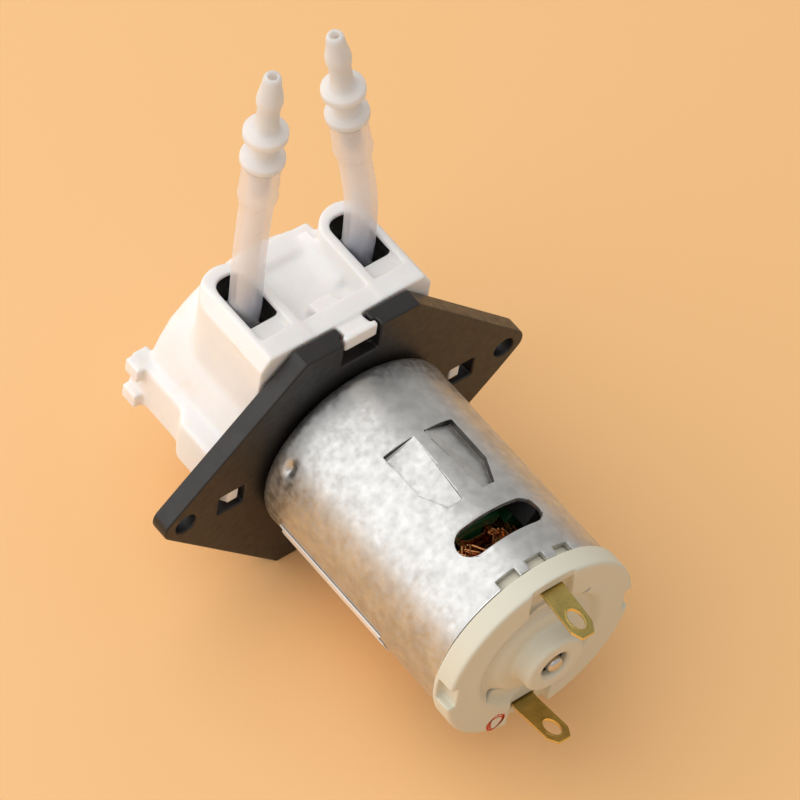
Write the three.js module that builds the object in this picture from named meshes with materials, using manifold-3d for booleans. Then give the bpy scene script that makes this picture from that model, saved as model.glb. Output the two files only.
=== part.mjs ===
// Peristaltic dosing pump: a brushed DC can motor with a clip-fitted roller head.
// Millimetres. The motor axis is Y, running from the head (-Y) to the terminals (+Y).
// The origin lies on that axis in the rear face of the base flange. +Z is the way the tubes leave.
import * as THREE from 'three';
import { mergeVertices } from 'three/addons/utils/BufferGeometryUtils.js';
import Module from 'manifold-3d';

const wasm = await Module();
wasm.setup();

// ---- Driving dimensions -------------------------------------------------------------------------
const GAP = 0.3; // between pieces that touch
const RUN = 0.15; // radial play of a pin or shaft

const FLANGE = { thick: 2.8, halfHeight: 20.36, flatHalf: 8.73, holeX: 25, holeR: 1.5, tipR: 2.15, tipX: 28.2 };
const WINDOW = { x: 18.0, width: 4.0, height: 3.4, z: -0.2 };
const NOTCH = { half: 2.25, undercut: 2.85, floor: 15.8, lip: 1.4 };
const SCREW = { pitch: 16, r: 1.25, headR: 2.2, headHeight: 1.6, length: 6.6 };

const HEAD = { r: 15.85, front: -22, rear: -FLANGE.thick - GAP, wall: 1.7, trackR: 13.7, round: 1.8 };
const PORT = { x: 8.75, y: -12.45, halfWide: 2.25, halfLong: 4.25, inner: 5.1, outer: 13.2, top: 20.45 };
const PORT_BLOCK = { front: -18.5, shoulder: 18.5, shelf: 16.5, shelfRear: -9.2, ledgeRear: -6.2, ledgeDepth: 1.2 };
const BRIDGE = { halfWide: 5.6, top: 16.3, front: -16.8, band: { halfWide: 7, front: -20.2, top: 17 }, rail: -6.0 };
const ARM = { x: 16.8, halfHeight: 3.7, front: -22.9, blockX: 18.2, blockFront: -11.3, ribX: 18.0 };
const TAB = { half: 1.95, front: -9.0, frontTop: 18.3, rear: -0.3, low: 18.3, high: 20.6 };

const ROLLER = { r: 5.1, orbit: 6.35, bore: 1.2, front: -18.0, rear: -8.3, count: 3 };
const CARRIER = { r: 10.8, thick: 1.5, hubR: 1.6 };
const PIN_R = 1.0;

const TUBE = { r: 2.1, bore: 1.25, flat: 0.85, pinch: 1.15, stretched: 2.45, loopR: 12.55 };
const TUBE_FIT = 5.5; // how far the tube is pushed over a barb, up to the lower collar
const CLIP = { low: 13.2, high: 15.4, halfX: 1.98, halfY: 3.9, holeX: 1.42, holeY: 3.05 };

const CAN = { r: 13.85, wall: 0.75, front: 0.3, rear: 35.5, bossR: 5.0, bossFront: -1.7 };
const CAP = { r: 12.85, lipR: 14.3, skirt: 29.3, floor: 34.0, top: 38.9, dish: 37.9, bossR: 4.4, bossTop: 41.9 };
const TERMINAL = { width: 3.3, thick: 0.45, z: 12.22, root: 31.5, bend: 38.8, tip: 45.9, tipZ: 11.1 };
const SHAFT = { r: 1.15, front: -17.6, rear: 42.2 };
const CORE = { r: 9.0, shoeR: 7.4, hubR: 3.2, toothHalf: 1.5, front: 10.8, rear: 24.2, poles: 5 };
const COIL = { inner: 4.1, outer: 6.8, half: 2.75, front: 6.8, rear: 28.2, clear: 0.25 };
const COMMUTATOR = { r: 3.6, front: 29.2, rear: 33.2 };
const MAGNET = { inner: 9.6, outer: 12.8, halfAngle: 58, front: 4.5, rear: 27.5 };
const VENT = { front: 26.0, rear: 30.1, halfAngle: 26.5 };
const LABEL = { r: 14.1, thick: 0.15, front: 4.5, rear: 25, edge: -14 };

// ---- Finishes -----------------------------------------------------------------------------------
const finish = (color, roughness, metalness = 0) =>
  new THREE.MeshStandardMaterial({ color, roughness, metalness });
const WHITE_PLASTIC = finish(0xeceae6, 0.45);
const BLACK_PLASTIC = finish(0x232221, 0.5);
const IVORY_NYLON = finish(0xd6d0b6, 0.4);
const CAP_NYLON = finish(0xc9c3aa, 0.4);
const SILICONE = finish(0xdfdedb, 0.3);
const CLEAR_PP = finish(0xefeeea, 0.3);
const ZINC = finish(0xb9bcbf, 0.35, 0.9);
const STEEL = finish(0x9a9da0, 0.25, 1);
const BRASS = finish(0xb79a45, 0.3, 1);
const COPPER = finish(0xb0602c, 0.35, 1);
const BRONZE = finish(0x8a6a3f, 0.45, 1);
const CARBON = finish(0x2b2b2b, 0.7);
const FERRITE = finish(0x3b3b3d, 0.8);
const CORE_GREEN = finish(0x3f6b4c, 0.55);
const PAPER = finish(0xf2f0ec, 0.8);

// ---- Solid helpers ------------------------------------------------------------------------------
const X = new THREE.Vector3(1, 0, 0);
const Y = new THREE.Vector3(0, 1, 0);
const Z = new THREE.Vector3(0, 0, 1);
const rad = THREE.MathUtils.degToRad;

/** Welds a geometry, drops its empty triangles and turns its faces outwards. */
function closed(geometry) {
  geometry.deleteAttribute('normal');
  geometry.deleteAttribute('uv');
  const welded = mergeVertices(geometry, 1e-4);
  const p = welded.getAttribute('position');
  const corner = (i) => new THREE.Vector3().fromBufferAttribute(p, i);
  const kept = [];
  let volume = 0;
  const index = welded.getIndex().array;
  for (let i = 0; i < index.length; i += 3) {
    const [a, b, c] = index.slice(i, i + 3);
    if (a === b || b === c || c === a) continue;
    volume += corner(a).dot(corner(b).cross(corner(c)));
    kept.push([a, b, c]);
  }
  const turned = volume < 0 ? kept.map(([a, b, c]) => [a, c, b]) : kept;
  welded.setIndex(turned.flat());
  return welded;
}

/** A geometry as a boolean solid. */
function solid(geometry) {
  const g = closed(geometry);
  return new wasm.Manifold(new wasm.Mesh({
    numProp: 3,
    vertProperties: new Float32Array(g.getAttribute('position').array),
    triVerts: new Uint32Array(g.getIndex().array),
  }));
}

/** A boolean solid back as a geometry. */
function geometryOf(manifold) {
  const mesh = manifold.getMesh();
  const g = new THREE.BufferGeometry();
  g.setAttribute('position', new THREE.BufferAttribute(new Float32Array(mesh.vertProperties), 3));
  g.setIndex(Array.from(mesh.triVerts));
  return g;
}

const join = (first, ...rest) => rest.reduce((sum, part) => sum.add(part), first);
const cut = (first, ...rest) => rest.reduce((sum, part) => sum.subtract(part), first);

/** A shape from a list of [u, v] corners. */
const outline = (corners) => new THREE.Shape(corners.map(([u, v]) => new THREE.Vector2(u, v)));

/** A round-cornered rectangle shape about (cu, cv). */
function roundedRect(cu, cv, halfU, halfV, r) {
  const s = new THREE.Shape();
  const arcs = [[1, 1, 0], [-1, 1, 90], [-1, -1, 180], [1, -1, 270]];
  for (const [su, sv, start] of arcs) {
    s.absarc(cu + su * (halfU - r), cv + sv * (halfV - r), r, rad(start), rad(start + 90), false);
  }
  return s;
}

/** A shape in the XZ plane, extruded along Y from front to rear. */
function alongY(shape, front, rear, curveSegments = 8) {
  const g = new THREE.ExtrudeGeometry(shape, { depth: rear - front, bevelEnabled: false, curveSegments });
  return g.rotateX(Math.PI / 2).translate(0, rear, 0);
}

/** A shape in the XY plane, extruded along Z from low to high. */
function alongZ(shape, low, high, curveSegments = 8) {
  const g = new THREE.ExtrudeGeometry(shape, { depth: high - low, bevelEnabled: false, curveSegments });
  return g.translate(0, 0, low);
}

/** A shape in the YZ plane, extruded along X from left to right. */
function alongX(shape, left, right, curveSegments = 8) {
  const g = new THREE.ExtrudeGeometry(shape, { depth: right - left, bevelEnabled: false, curveSegments });
  return g.applyMatrix4(new THREE.Matrix4().makeBasis(Y, Z, X)).translate(left, 0, 0);
}

/** A body of revolution about Y from closed [radius, y] corners. */
const turned = (profile, segments = 32) =>
  new THREE.LatheGeometry([...profile, profile[0]].map(([r, y]) => new THREE.Vector2(r, y)), segments);

/** A ring or, with no bore, a disc about Y. */
const ring = (bore, r, front, rear, segments = 32) =>
  turned([[bore, front], [r, front], [r, rear], [bore, rear]], segments);

/** A box from its lowest to its highest corner. */
function block([x0, y0, z0], [x1, y1, z1]) {
  const g = new THREE.BoxGeometry(x1 - x0, y1 - y0, z1 - z0);
  return g.translate((x0 + x1) / 2, (y0 + y1) / 2, (z0 + z1) / 2);
}

/** A sector of a ring about Y between two angles, as a shape in XZ. */
function sector(inner, outer, from, to, steps = 12) {
  const s = new THREE.Shape();
  const at = (r, i) => {
    const a = rad(from + ((to - from) * i) / steps);
    return [r * Math.cos(a), r * Math.sin(a)];
  };
  s.moveTo(...at(outer, 0));
  for (let i = 1; i <= steps; i += 1) s.lineTo(...at(outer, i));
  for (let i = steps; i >= 0; i -= 1) s.lineTo(...at(inner, i));
  return s;
}

const pump = new THREE.Group();

/** Adds one named piece to the pump, or to a group of it. */
function piece(name, geometry, material, parent = pump) {
  const mesh = new THREE.Mesh(geometry, material);
  mesh.name = name;
  parent.add(mesh);
  return mesh;
}

const both = (make) => [make(1), make(-1)];

// ---- Base flange --------------------------------------------------------------------------------
function baseFlange() {
  const { thick, halfHeight, flatHalf, holeX, holeR, tipR, tipX } = FLANGE;
  const slope = flatHalf + halfHeight; // the slanted edges lie on |x| + |z| = slope
  const neck = tipX - tipR * (1 - Math.SQRT1_2); // where they run into the round tips
  const quarter = [[flatHalf, halfHeight], [neck, slope - neck]];
  const corners = [
    ...quarter,
    ...quarter.map(([x, z]) => [x, -z]).reverse(),
    ...quarter.map(([x, z]) => [-x, -z]),
    ...quarter.map(([x, z]) => [-x, z]).reverse(),
  ];
  const plate = solid(alongY(outline(corners), -thick, 0));
  const tips = both((s) => solid(ring(0, tipR, -thick, 0, 28).translate(s * (tipX - tipR), 0, 0)));
  const spigot = solid(ring(12.2, HEAD.trackR - GAP, -thick - 2.4, -thick + 0.5, 40));
  const holes = both((s) => solid(ring(0, holeR, -thick - 1, 1, 24).translate(s * holeX, 0, 0)));
  const windows = both((s) => solid(block(
    [s * WINDOW.x - WINDOW.width / 2, -thick - 1, WINDOW.z - WINDOW.height / 2],
    [s * WINDOW.x + WINDOW.width / 2, 1, WINDOW.z + WINDOW.height / 2],
  )));
  const screwHoles = both((s) => solid(turned([
    [0, -thick - 1], [SCREW.headR + GAP, -thick - 1], [SCREW.headR + GAP, -1.5],
    [SCREW.r + GAP, -1.5], [SCREW.r + GAP, 1], [0, 1],
  ], 20).translate((s * SCREW.pitch) / 2, 0, 0)));
  const notch = solid(block([-NOTCH.half, -thick - 1, NOTCH.floor], [NOTCH.half, 1, halfHeight + 1]));
  const undercut = solid(
    block([-NOTCH.undercut, -NOTCH.lip, NOTCH.floor], [NOTCH.undercut, 1, halfHeight + 1]),
  );
  const bore = solid(ring(0, CAN.bossR + GAP, -thick - 1, 1, 32));
  return geometryOf(cut(join(plate, ...tips, spigot), ...holes, ...windows, ...screwHoles, notch,
    undercut, bore));
}
piece('base_flange', baseFlange(), BLACK_PLASTIC);

/** A pan-head screw along its own Y with a cone recess in its head. */
const motorScrew = closed(turned([
  [0, 0.9], [0.9, 0], [SCREW.headR - 0.25, 0], [SCREW.headR, 0.3],
  [SCREW.headR, SCREW.headHeight], [SCREW.r, SCREW.headHeight], [SCREW.r, SCREW.length - 0.4],
  [SCREW.r - 0.4, SCREW.length], [0, SCREW.length],
], 16));
for (const [i, side] of [1, -1].entries()) {
  piece(`motor_screw_${i + 1}`, motorScrew, STEEL)
    .position.set((side * SCREW.pitch) / 2, -1.5 - GAP - SCREW.headHeight, 0);
}

// ---- Pump head ----------------------------------------------------------------------------------
function portBlock(side) {
  const mid = side * (PORT.inner + PORT.outer) / 2;
  const half = (PORT.outer - PORT.inner) / 2;
  const plan = new THREE.Shape();
  plan.moveTo(mid + half, HEAD.rear);
  plan.lineTo(mid - half, HEAD.rear);
  plan.lineTo(mid - half, PORT_BLOCK.front + half);
  plan.absarc(mid, PORT_BLOCK.front + half, half, Math.PI, 2 * Math.PI, false);
  plan.lineTo(mid + half, HEAD.rear);
  const chamfer = PORT.top - PORT_BLOCK.shoulder;
  const face = outline([
    [side * (PORT.inner - 1), 0], [side * (PORT.inner - 1), PORT.top],
    [side * (PORT.outer - 0.65 * chamfer), PORT.top], [side * PORT.outer, PORT_BLOCK.shoulder],
    [side * PORT.outer, 0],
  ]);
  return solid(alongZ(plan, 5, PORT.top, 16)).intersect(solid(alongY(face, -30, 0)));
}

/** The pocket under a port, its narrower mouth above the shelf, the flare below and the ledge behind. */
function portCuts(side) {
  const mid = side * PORT.x;
  const front = PORT.y - PORT.halfLong;
  const round = 1.9;
  const mouth = (rear) => {
    const s = new THREE.Shape();
    s.moveTo(mid + PORT.halfWide, rear);
    s.lineTo(mid - PORT.halfWide, rear);
    s.lineTo(mid - PORT.halfWide, front + round);
    s.absarc(mid - PORT.halfWide + round, front + round, round, Math.PI, 1.5 * Math.PI, false);
    s.absarc(mid + PORT.halfWide - round, front + round, round, 1.5 * Math.PI, 2 * Math.PI, false);
    s.lineTo(mid + PORT.halfWide, rear);
    return s;
  };
  const { shelf, shelfRear, ledgeRear, ledgeDepth } = PORT_BLOCK;
  const inner = PORT.x - PORT.halfWide;
  const outer = PORT.x + PORT.halfWide;
  const flare = outline([[inner, 8], [inner, 12.2], [outer, 13.6], [12.45, 9], [12.7, 5], [9, 4]]
    .map(([x, z]) => [side * x, z]));
  return [
    solid(alongZ(mouth(PORT.y + PORT.halfLong), 9, shelf, 6)),
    solid(alongZ(mouth(shelfRear), shelf - 0.1, PORT.top + 1, 6)),
    solid(alongY(flare, PORT.y - PORT.halfLong + 0.4, PORT.y + PORT.halfLong - 0.4)),
    solid(block([mid - PORT.halfWide, PORT.y, PORT.top - ledgeDepth],
      [mid + PORT.halfWide, ledgeRear, PORT.top + 1])),
  ];
}

/** One squeeze latch: a spring arm, its rear block with the hook, and two finger ribs. */
function latch(side) {
  const span = (x0, x1, y0, y1, z0, z1) => solid(block(
    [Math.min(side * x0, side * x1), y0, z0],
    [Math.max(side * x0, side * x1), y1, z1],
  ));
  const { x, halfHeight, front, blockX, blockFront, ribX } = ARM;
  const rib = [1.4, halfHeight + 0.1];
  return join(
    span(14.5, x, front, HEAD.rear, -halfHeight, halfHeight),
    span(14.5, blockX, blockFront, HEAD.rear, -halfHeight + 0.1, halfHeight - 0.1),
    span(x - 0.5, ribX, front + 0.3, front + 2.9, ...rib),
    span(x - 0.5, ribX, front + 0.3, front + 2.9, -rib[1], -rib[0]),
    span(16.6, 18.2, HEAD.rear - 1, -1.6, -1.3, 1.1),
    solid(alongZ(outline([[16.6, -2.2], [18.9, -1.7], [18.2, -0.5], [16.6, -0.5]]
      .map(([px, py]) => [side * px, py])), -1.3, 1.1)),
  );
}

function headHousing() {
  const { r, front, rear, wall, trackR, round } = HEAD;
  const nose = [0, 1, 2, 3].map((i) => {
    const a = rad(90 - 30 * i);
    return [r - round + round * Math.cos(a), front + round - round * Math.sin(a)];
  });
  const barrel = solid(turned([[0, front], ...nose, [r, rear], [0, rear]], 56));
  const { halfWide, band } = BRIDGE;
  const bridge = join(
    solid(block([-halfWide, BRIDGE.front - 0.1, 10], [halfWide, rear, BRIDGE.top])),
    solid(block([-band.halfWide, band.front, 10], [band.halfWide, BRIDGE.front, band.top])),
    solid(block([-halfWide, BRIDGE.rail, 10], [halfWide, rear, PORT.top - 0.15])),
  );
  const seat = BRIDGE.top - 0.5;
  const wedge = [[TAB.front, seat], [TAB.front, TAB.frontTop], [-2.4, TAB.high - 0.5],
    [TAB.rear, TAB.high], [TAB.rear, TAB.low], [rear - 0.01, TAB.low], [rear - 0.01, seat]];
  const tab = join(
    solid(alongX(outline(wedge), -TAB.half, TAB.half)),
    solid(block([-TAB.half - 0.55, -NOTCH.lip + GAP, TAB.low], [TAB.half + 0.55, TAB.rear, TAB.high])),
  );
  const body = join(barrel, ...both(portBlock), bridge, tab, ...both(latch));
  const cavity = solid(ring(0, trackR, front + wall, 0, 56));
  return geometryOf(cut(body, cavity, ...portCuts(1), ...portCuts(-1)));
}
piece('head_housing', headHousing(), WHITE_PLASTIC);

// ---- Rotor: two carrier plates, three pins and three rollers --------------------------------------
const carrierFront = ROLLER.front - GAP - CARRIER.thick;
const carrierRear = ROLLER.rear + GAP;

function orbit(i) {
  const a = rad(90 + (360 / ROLLER.count) * i);
  return [ROLLER.orbit * Math.cos(a), ROLLER.orbit * Math.sin(a)];
}

function carrierPlate(front, hubR) {
  const plate = solid(ring(0, CARRIER.r, front, front + CARRIER.thick, 36));
  const holes = [solid(ring(0, hubR, front - 1, front + CARRIER.thick + 1, 20))];
  for (let i = 0; i < ROLLER.count; i += 1) {
    const [x, z] = orbit(i);
    holes.push(solid(
      ring(0, PIN_R + RUN, front - 1, front + CARRIER.thick + 1, 16).translate(x, 0, z),
    ));
  }
  return geometryOf(cut(plate, ...holes));
}
piece('carrier_front', carrierPlate(carrierFront, CARRIER.hubR), IVORY_NYLON);
piece('carrier_rear', carrierPlate(carrierRear, CARRIER.hubR), IVORY_NYLON);

const rollerGeometry = closed(turned([
  [ROLLER.bore, ROLLER.front], [ROLLER.r - 0.4, ROLLER.front], [ROLLER.r, ROLLER.front + 0.4],
  [ROLLER.r, ROLLER.rear - 0.4], [ROLLER.r - 0.4, ROLLER.rear], [ROLLER.bore, ROLLER.rear],
], 24));
const pinGeometry = closed(turned([
  [0, carrierFront + 0.1], [PIN_R, carrierFront + 0.1],
  [PIN_R, carrierRear + CARRIER.thick - 0.1], [0, carrierRear + CARRIER.thick - 0.1],
], 12));
for (let i = 0; i < ROLLER.count; i += 1) {
  const [x, z] = orbit(i);
  piece(`roller_${i + 1}`, rollerGeometry, IVORY_NYLON).position.set(x, 0, z);
  piece(`roller_pin_${i + 1}`, pinGeometry, STEEL).position.set(x, 0, z);
}

// ---- Pump tube, its clips and the barbed connectors ----------------------------------------------
const LEFT_RISE = [[8.75, PORT.y, 20.4], [8.7, -12.9, 28], [8.3, -13.4, 42.9], [8.31, -13.42, 45.1]];
const RIGHT_RISE = [
  [-8.78, PORT.y, 20.4], [-8.65, -12.95, 27], [-7.74, -13.78, 33.5], [-6.43, -14.57, 40.6],
  [-6.04, -14.79, 42.76],
];
const LOOP_EXIT = 25; // degrees above the X axis where the tube leaves the track

/** The tube's centre line from the left connector, round the track, to the right one. */
function tubeRoute() {
  const exit = [[10.2, 8.0], [9.05, 10.9], [PORT.x, 13.2], [PORT.x, 15.4]];
  const points = [...LEFT_RISE].reverse();
  points.push(...exit.map(([x, z]) => [x, PORT.y, z]).reverse());
  const steps = 22;
  for (let i = 0; i <= steps; i += 1) {
    const a = rad(LOOP_EXIT - ((180 + 2 * LOOP_EXIT) * i) / steps);
    points.push([TUBE.loopR * Math.cos(a), PORT.y, TUBE.loopR * Math.sin(a)]);
  }
  points.push(...exit.map(([x, z]) => [-x, PORT.y, z]), ...RIGHT_RISE);
  return new THREE.CatmullRomCurve3(points.map((p) => new THREE.Vector3(...p)), false, 'centripetal');
}

/** Half the tube's thickness at a point: squeezed in the track, pinched in the clip, round above. */
function tubeHalf(point, fromEnd) {
  const keys = [[6, TUBE.flat], [11, TUBE.pinch], [15.6, TUBE.pinch], [19.4, TUBE.r]];
  const z = point.z;
  if (fromEnd < TUBE_FIT + 2.5) {
    const spread = THREE.MathUtils.smoothstep(TUBE_FIT + 2.5 - fromEnd, 0, 2.5);
    return THREE.MathUtils.lerp(TUBE.r, TUBE.stretched, spread);
  }
  if (z <= keys[0][0]) return TUBE.flat;
  for (let i = 1; i < keys.length; i += 1) {
    const [z0, h0] = keys[i - 1];
    const [z1, h1] = keys[i];
    if (z <= z1) return h0 + (h1 - h0) * THREE.MathUtils.smoothstep(z, z0, z1);
  }
  return TUBE.r;
}

/** A straight extruded tube, wrapped onto the route with its section squeezed as it goes. */
function pumpTube() {
  const route = tubeRoute();
  const length = route.getLength();
  const steps = 54;
  const section = new THREE.Shape().absarc(0, 0, 1, 0, 2 * Math.PI, false);
  section.holes.push(new THREE.Path().absarc(0, 0, TUBE.bore / TUBE.r, 0, 2 * Math.PI, true));
  const g = new THREE.ExtrudeGeometry(section, { depth: 1, steps, bevelEnabled: false, curveSegments: 5 });
  const p = g.getAttribute('position');
  for (let i = 0; i < p.count; i += 1) {
    const t = THREE.MathUtils.clamp(p.getZ(i), 0, 1);
    const centre = route.getPointAt(t);
    const tangent = route.getTangentAt(t);
    const side = new THREE.Vector3().crossVectors(tangent, Y).normalize();
    const along = new THREE.Vector3().crossVectors(side, tangent).normalize();
    const half = tubeHalf(centre, length * Math.min(t, 1 - t));
    const wide = half < TUBE.r ? TUBE.r + 0.62 * (TUBE.r - half) : half;
    const at = centre.addScaledVector(side, p.getX(i) * half).addScaledVector(along, p.getY(i) * wide);
    p.setXYZ(i, at.x, at.y, at.z);
  }
  return closed(g);
}
piece('pump_tube', pumpTube(), SILICONE);

function tubeClip(side) {
  const plate = roundedRect(side * PORT.x, PORT.y, CLIP.halfX, CLIP.halfY, 1.2);
  plate.holes.push(roundedRect(side * PORT.x, PORT.y, CLIP.holeX, CLIP.holeY, 1.3));
  return closed(alongZ(plate, CLIP.low, CLIP.high, 3));
}
piece('tube_clip_left', tubeClip(1), IVORY_NYLON);
piece('tube_clip_right', tubeClip(-1), IVORY_NYLON);

// A connector along its own Y, with the barb at its foot inside the tube.
const CONNECTOR = [
  [0.6, -3.4], [0.85, -3.4], [1.2, -2.2], [1.2, -0.2], [1.3, 0.35], [1.3, 2.2], [2.3, 2.5],
  [2.75, 3.0], [2.75, 3.6], [2.3, 4.1], [1.9, 4.6], [1.7, 6.4], [2.3, 7.0], [2.8, 7.5], [2.8, 8.2],
  [2.2, 8.9], [1.5, 9.5], [1.4, 12.2], [1.65, 13.6], [1.65, 14.4], [1.2, 16.4], [0.95, 17.9],
  [0.6, 18.15],
];
const connectorGeometry = closed(turned(CONNECTOR, 16));
function connector(name, rise, lean) {
  const end = new THREE.Vector3(...rise[rise.length - 1]);
  const mesh = piece(name, connectorGeometry, CLEAR_PP);
  mesh.quaternion.setFromUnitVectors(Y, lean.normalize());
  mesh.position.copy(end.addScaledVector(lean, 3.4 - TUBE_FIT));
}
connector('barb_connector_left', LEFT_RISE, new THREE.Vector3(0.005, -0.01, 1));
connector('barb_connector_right', RIGHT_RISE, new THREE.Vector3(0.18, -0.1, 1));

// ---- Motor can and label --------------------------------------------------------------------------
/** A wedge pocket pressed beside the top line, deepest at its outer edge; grown by w, its back inside. */
function pocket(side, w) {
  const s = outline([[2.35 + w, 12 - w], [2.3 + w, 18.9 + w], [0.5, 22.65 + w], [-1.5 - w, 22.7 + w],
    [-2.35 - w, 12.1 - w]]);
  const g = new THREE.ExtrudeGeometry(s, { depth: w ? 1.6 : 4, bevelEnabled: false });
  const tilt = w ? 0 : rad(11);
  const lift = w ? CAN.r - 2.0 : CAN.r - 0.62;
  g.rotateY(tilt).translate(0, 0, lift).rotateY(rad(12.75));
  if (side < 0) g.scale(-1, 1, 1);
  return solid(g);
}

function stadiumCut(centre) {
  const mid = (VENT.front + VENT.rear) / 2;
  const half = CAN.r * Math.sin(rad(VENT.halfAngle));
  const s = roundedRect(0, mid, half, (VENT.rear - VENT.front) / 2, (VENT.rear - VENT.front) / 2 - 0.02);
  return solid(alongZ(s, 8, 16, 6).rotateY(rad(centre)));
}

function motorCan() {
  const { r, wall, front, rear, bossR, bossFront } = CAN;
  const inner = r - wall;
  const shell = solid(turned([
    [1.6, bossFront], [bossR - 0.6, bossFront], [bossR, bossFront + 0.6], [bossR, front],
    [r - 1.5, front], [r - 0.44, front + 0.44], [r, front + 1.5], [r, rear], [inner, rear],
    [inner, front + 1.6], [inner - 0.7, front + wall], [bossR - 0.8, front + wall],
    [bossR - 0.8, bossFront + 0.8], [1.6, bossFront + 0.8],
  ], 44));
  const bumps = both((s) => pocket(s, 0.5).intersect(solid(ring(11, inner + 0.3, 5, 30, 44))));
  const pockets = both((s) => pocket(s, 0));
  const vents = [90, -90].map((a) => stadiumCut(90 - a));
  const teeth = [];
  for (const centre of [90, -90]) {
    for (const [from, to] of [[-23, -11], [-4.5, 6.5], [13.5, 24.5]]) {
      teeth.push(solid(alongY(sector(11, 15, centre + from, centre + to, 2), rear - 1.3, rear + 1)));
    }
  }
  const screwHoles = both((s) => solid(
    ring(0, SCREW.r + GAP, -2, 4, 16).translate((s * SCREW.pitch) / 2, 0, 0),
  ));
  const crimps = both((s) => solid(block(
    [Math.min(s * 11.5, s * (inner + 0.5)), rear - 0.4, -1.5],
    [Math.max(s * 11.5, s * (inner + 0.5)), rear + 0.35, 1.5],
  )));
  return geometryOf(join(
    cut(join(shell, ...bumps), ...pockets, ...vents, ...teeth, ...screwHoles), ...crimps,
  ));
}
piece('motor_can', motorCan(), ZINC);
piece('motor_label',
  closed(alongY(sector(LABEL.r, LABEL.r + LABEL.thick, -180 - LABEL.edge, LABEL.edge, 24),
    LABEL.front, LABEL.rear)), PAPER);

// ---- Magnets and their spring ---------------------------------------------------------------------
for (const [name, middle] of [['magnet_left', 0], ['magnet_right', 180]]) {
  const { inner, outer, halfAngle, front, rear } = MAGNET;
  piece(name, closed(alongY(
    sector(inner, outer, middle - halfAngle, middle + halfAngle, 12), front, rear,
  )), FERRITE);
}

/** The U-shaped spring between the magnets, as a thin bent strip in XZ. */
function springStrip() {
  const t = 0.4;
  const [x, low, high] = [4.2, -12.2, -10.0];
  return outline([
    [-x - t, high], [-x, high], [-x + 0.6, low + t], [x - 0.6, low + t], [x, high], [x + t, high],
    [x - 0.3, low], [-x + 0.3, low],
  ]);
}
piece('magnet_spring', closed(alongY(springStrip(), MAGNET.front + 2, MAGNET.rear - 6)), STEEL);

// ---- End cap, terminals and brushes ---------------------------------------------------------------
function endCap() {
  const { r, lipR, skirt, floor, top, dish, bossR, bossTop } = CAP;
  const fillet = 0.4;
  const rearBore = 2.0; // the rear hole that shows the shaft's end
  const shell = solid(turned([
    [3.1, floor], [3.1, 40.6], [rearBore, 40.6], [rearBore, bossTop - 0.4], [rearBore + 0.4, bossTop],
    [bossR - 0.5, bossTop], [bossR, bossTop - 0.5], [bossR + 0.2, 39.6], [5.4, 39.1], [7.9, dish],
    [8.5, dish + 0.1], [9.4, top], [lipR - fillet, top], [lipR, top - fillet],
    [lipR, CAN.rear + GAP], [r, CAN.rear + GAP], [r, skirt], [11.9, skirt], [11.9, floor],
  ], 40));
  /** The same cut above and below the axis, from one height out to another. */
  const aboveAndBelow = (half, front, from, to) => both((s) => solid(block(
    [-half, front, Math.min(s * from, s * to)], [half, top + 1, Math.max(s * from, s * to)],
  )));
  const recessHalf = 3.3;
  const sideNotches = both((s) => solid(block(
    [Math.min(s * 11.1, s * 15), 34.8, -1.9], [Math.max(s * 11.1, s * 15), top + 1, 1.9],
  )));
  const slits = [[6.3, -5.0], [-5.2, 7.4]].map(([x, z]) => solid(
    block([-1.4, 30, -0.3], [1.4, top + 1, 0.3]).rotateY(rad(20)).translate(x, 0, z),
  ));
  return geometryOf(cut(shell,
    aboveAndBelow(recessHalf, 38.6, 12.7, 15)[0], aboveAndBelow(recessHalf, 37.6, 12.7, 15)[1],
    ...aboveAndBelow(recessHalf, 37.4, 8.6, 12.75),
    ...aboveAndBelow(TERMINAL.width / 2 + GAP, skirt - 1, 11.7, 12.75), ...sideNotches, ...slits));
}
piece('end_cap', endCap(), CAP_NYLON);

function terminal(side) {
  const { width, thick, z, root, bend, tip, tipZ } = TERMINAL;
  const strip = [[root, z], [bend, z], [tip, tipZ]];
  const low = strip.map(([y, h]) => [y, h - thick / 2]);
  const high = strip.map(([y, h]) => [y, h + thick / 2]).reverse();
  const plate = solid(alongX(outline([...low, ...high]), -width / 2, width / 2));
  const half = width / 2;
  const plan = outline([[-half, root - 1], [half, root - 1], [half, tip - 1.2], [half - 1, tip],
    [-half + 1, tip], [-half, tip - 1.2]]);
  plan.holes.push(roundedRect(0, tip - 2.5, 0.875, 1.45, 0.86));
  const made = plate.intersect(solid(alongZ(plan, 5, 16, 4)));
  return geometryOf(side > 0 ? made : made.rotate([0, 180, 0]));
}
piece('terminal_upper', terminal(1), BRASS);
piece('terminal_lower', terminal(-1), BRASS);

/** A leaf that runs from a terminal's root round to its brush. */
function brushArm(side) {
  const t = 0.35;
  const [x, low, high, end] = [5.0, 6.2, 10.2, 11.65];
  const leaf = outline([[-1.8, low], [x, low], [x, high + t], [t, high + t], [t, end], [0, end],
    [0, high], [x - t, high], [x - t, low + t], [-1.8, low + t]].map(([px, pz]) => [side * px, side * pz]));
  return closed(alongY(leaf, 29.9, 32.5));
}
const brush = closed(block([-1.5, 29.8, COMMUTATOR.r + 0.2], [1.5, 32.6, 6.2 - GAP]));
for (const [name, side] of [['upper', 1], ['lower', -1]]) {
  piece(`brush_arm_${name}`, brushArm(side), COPPER);
  piece(`carbon_brush_${name}`, brush, CARBON).rotation.y = side > 0 ? 0 : Math.PI;
}

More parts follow.
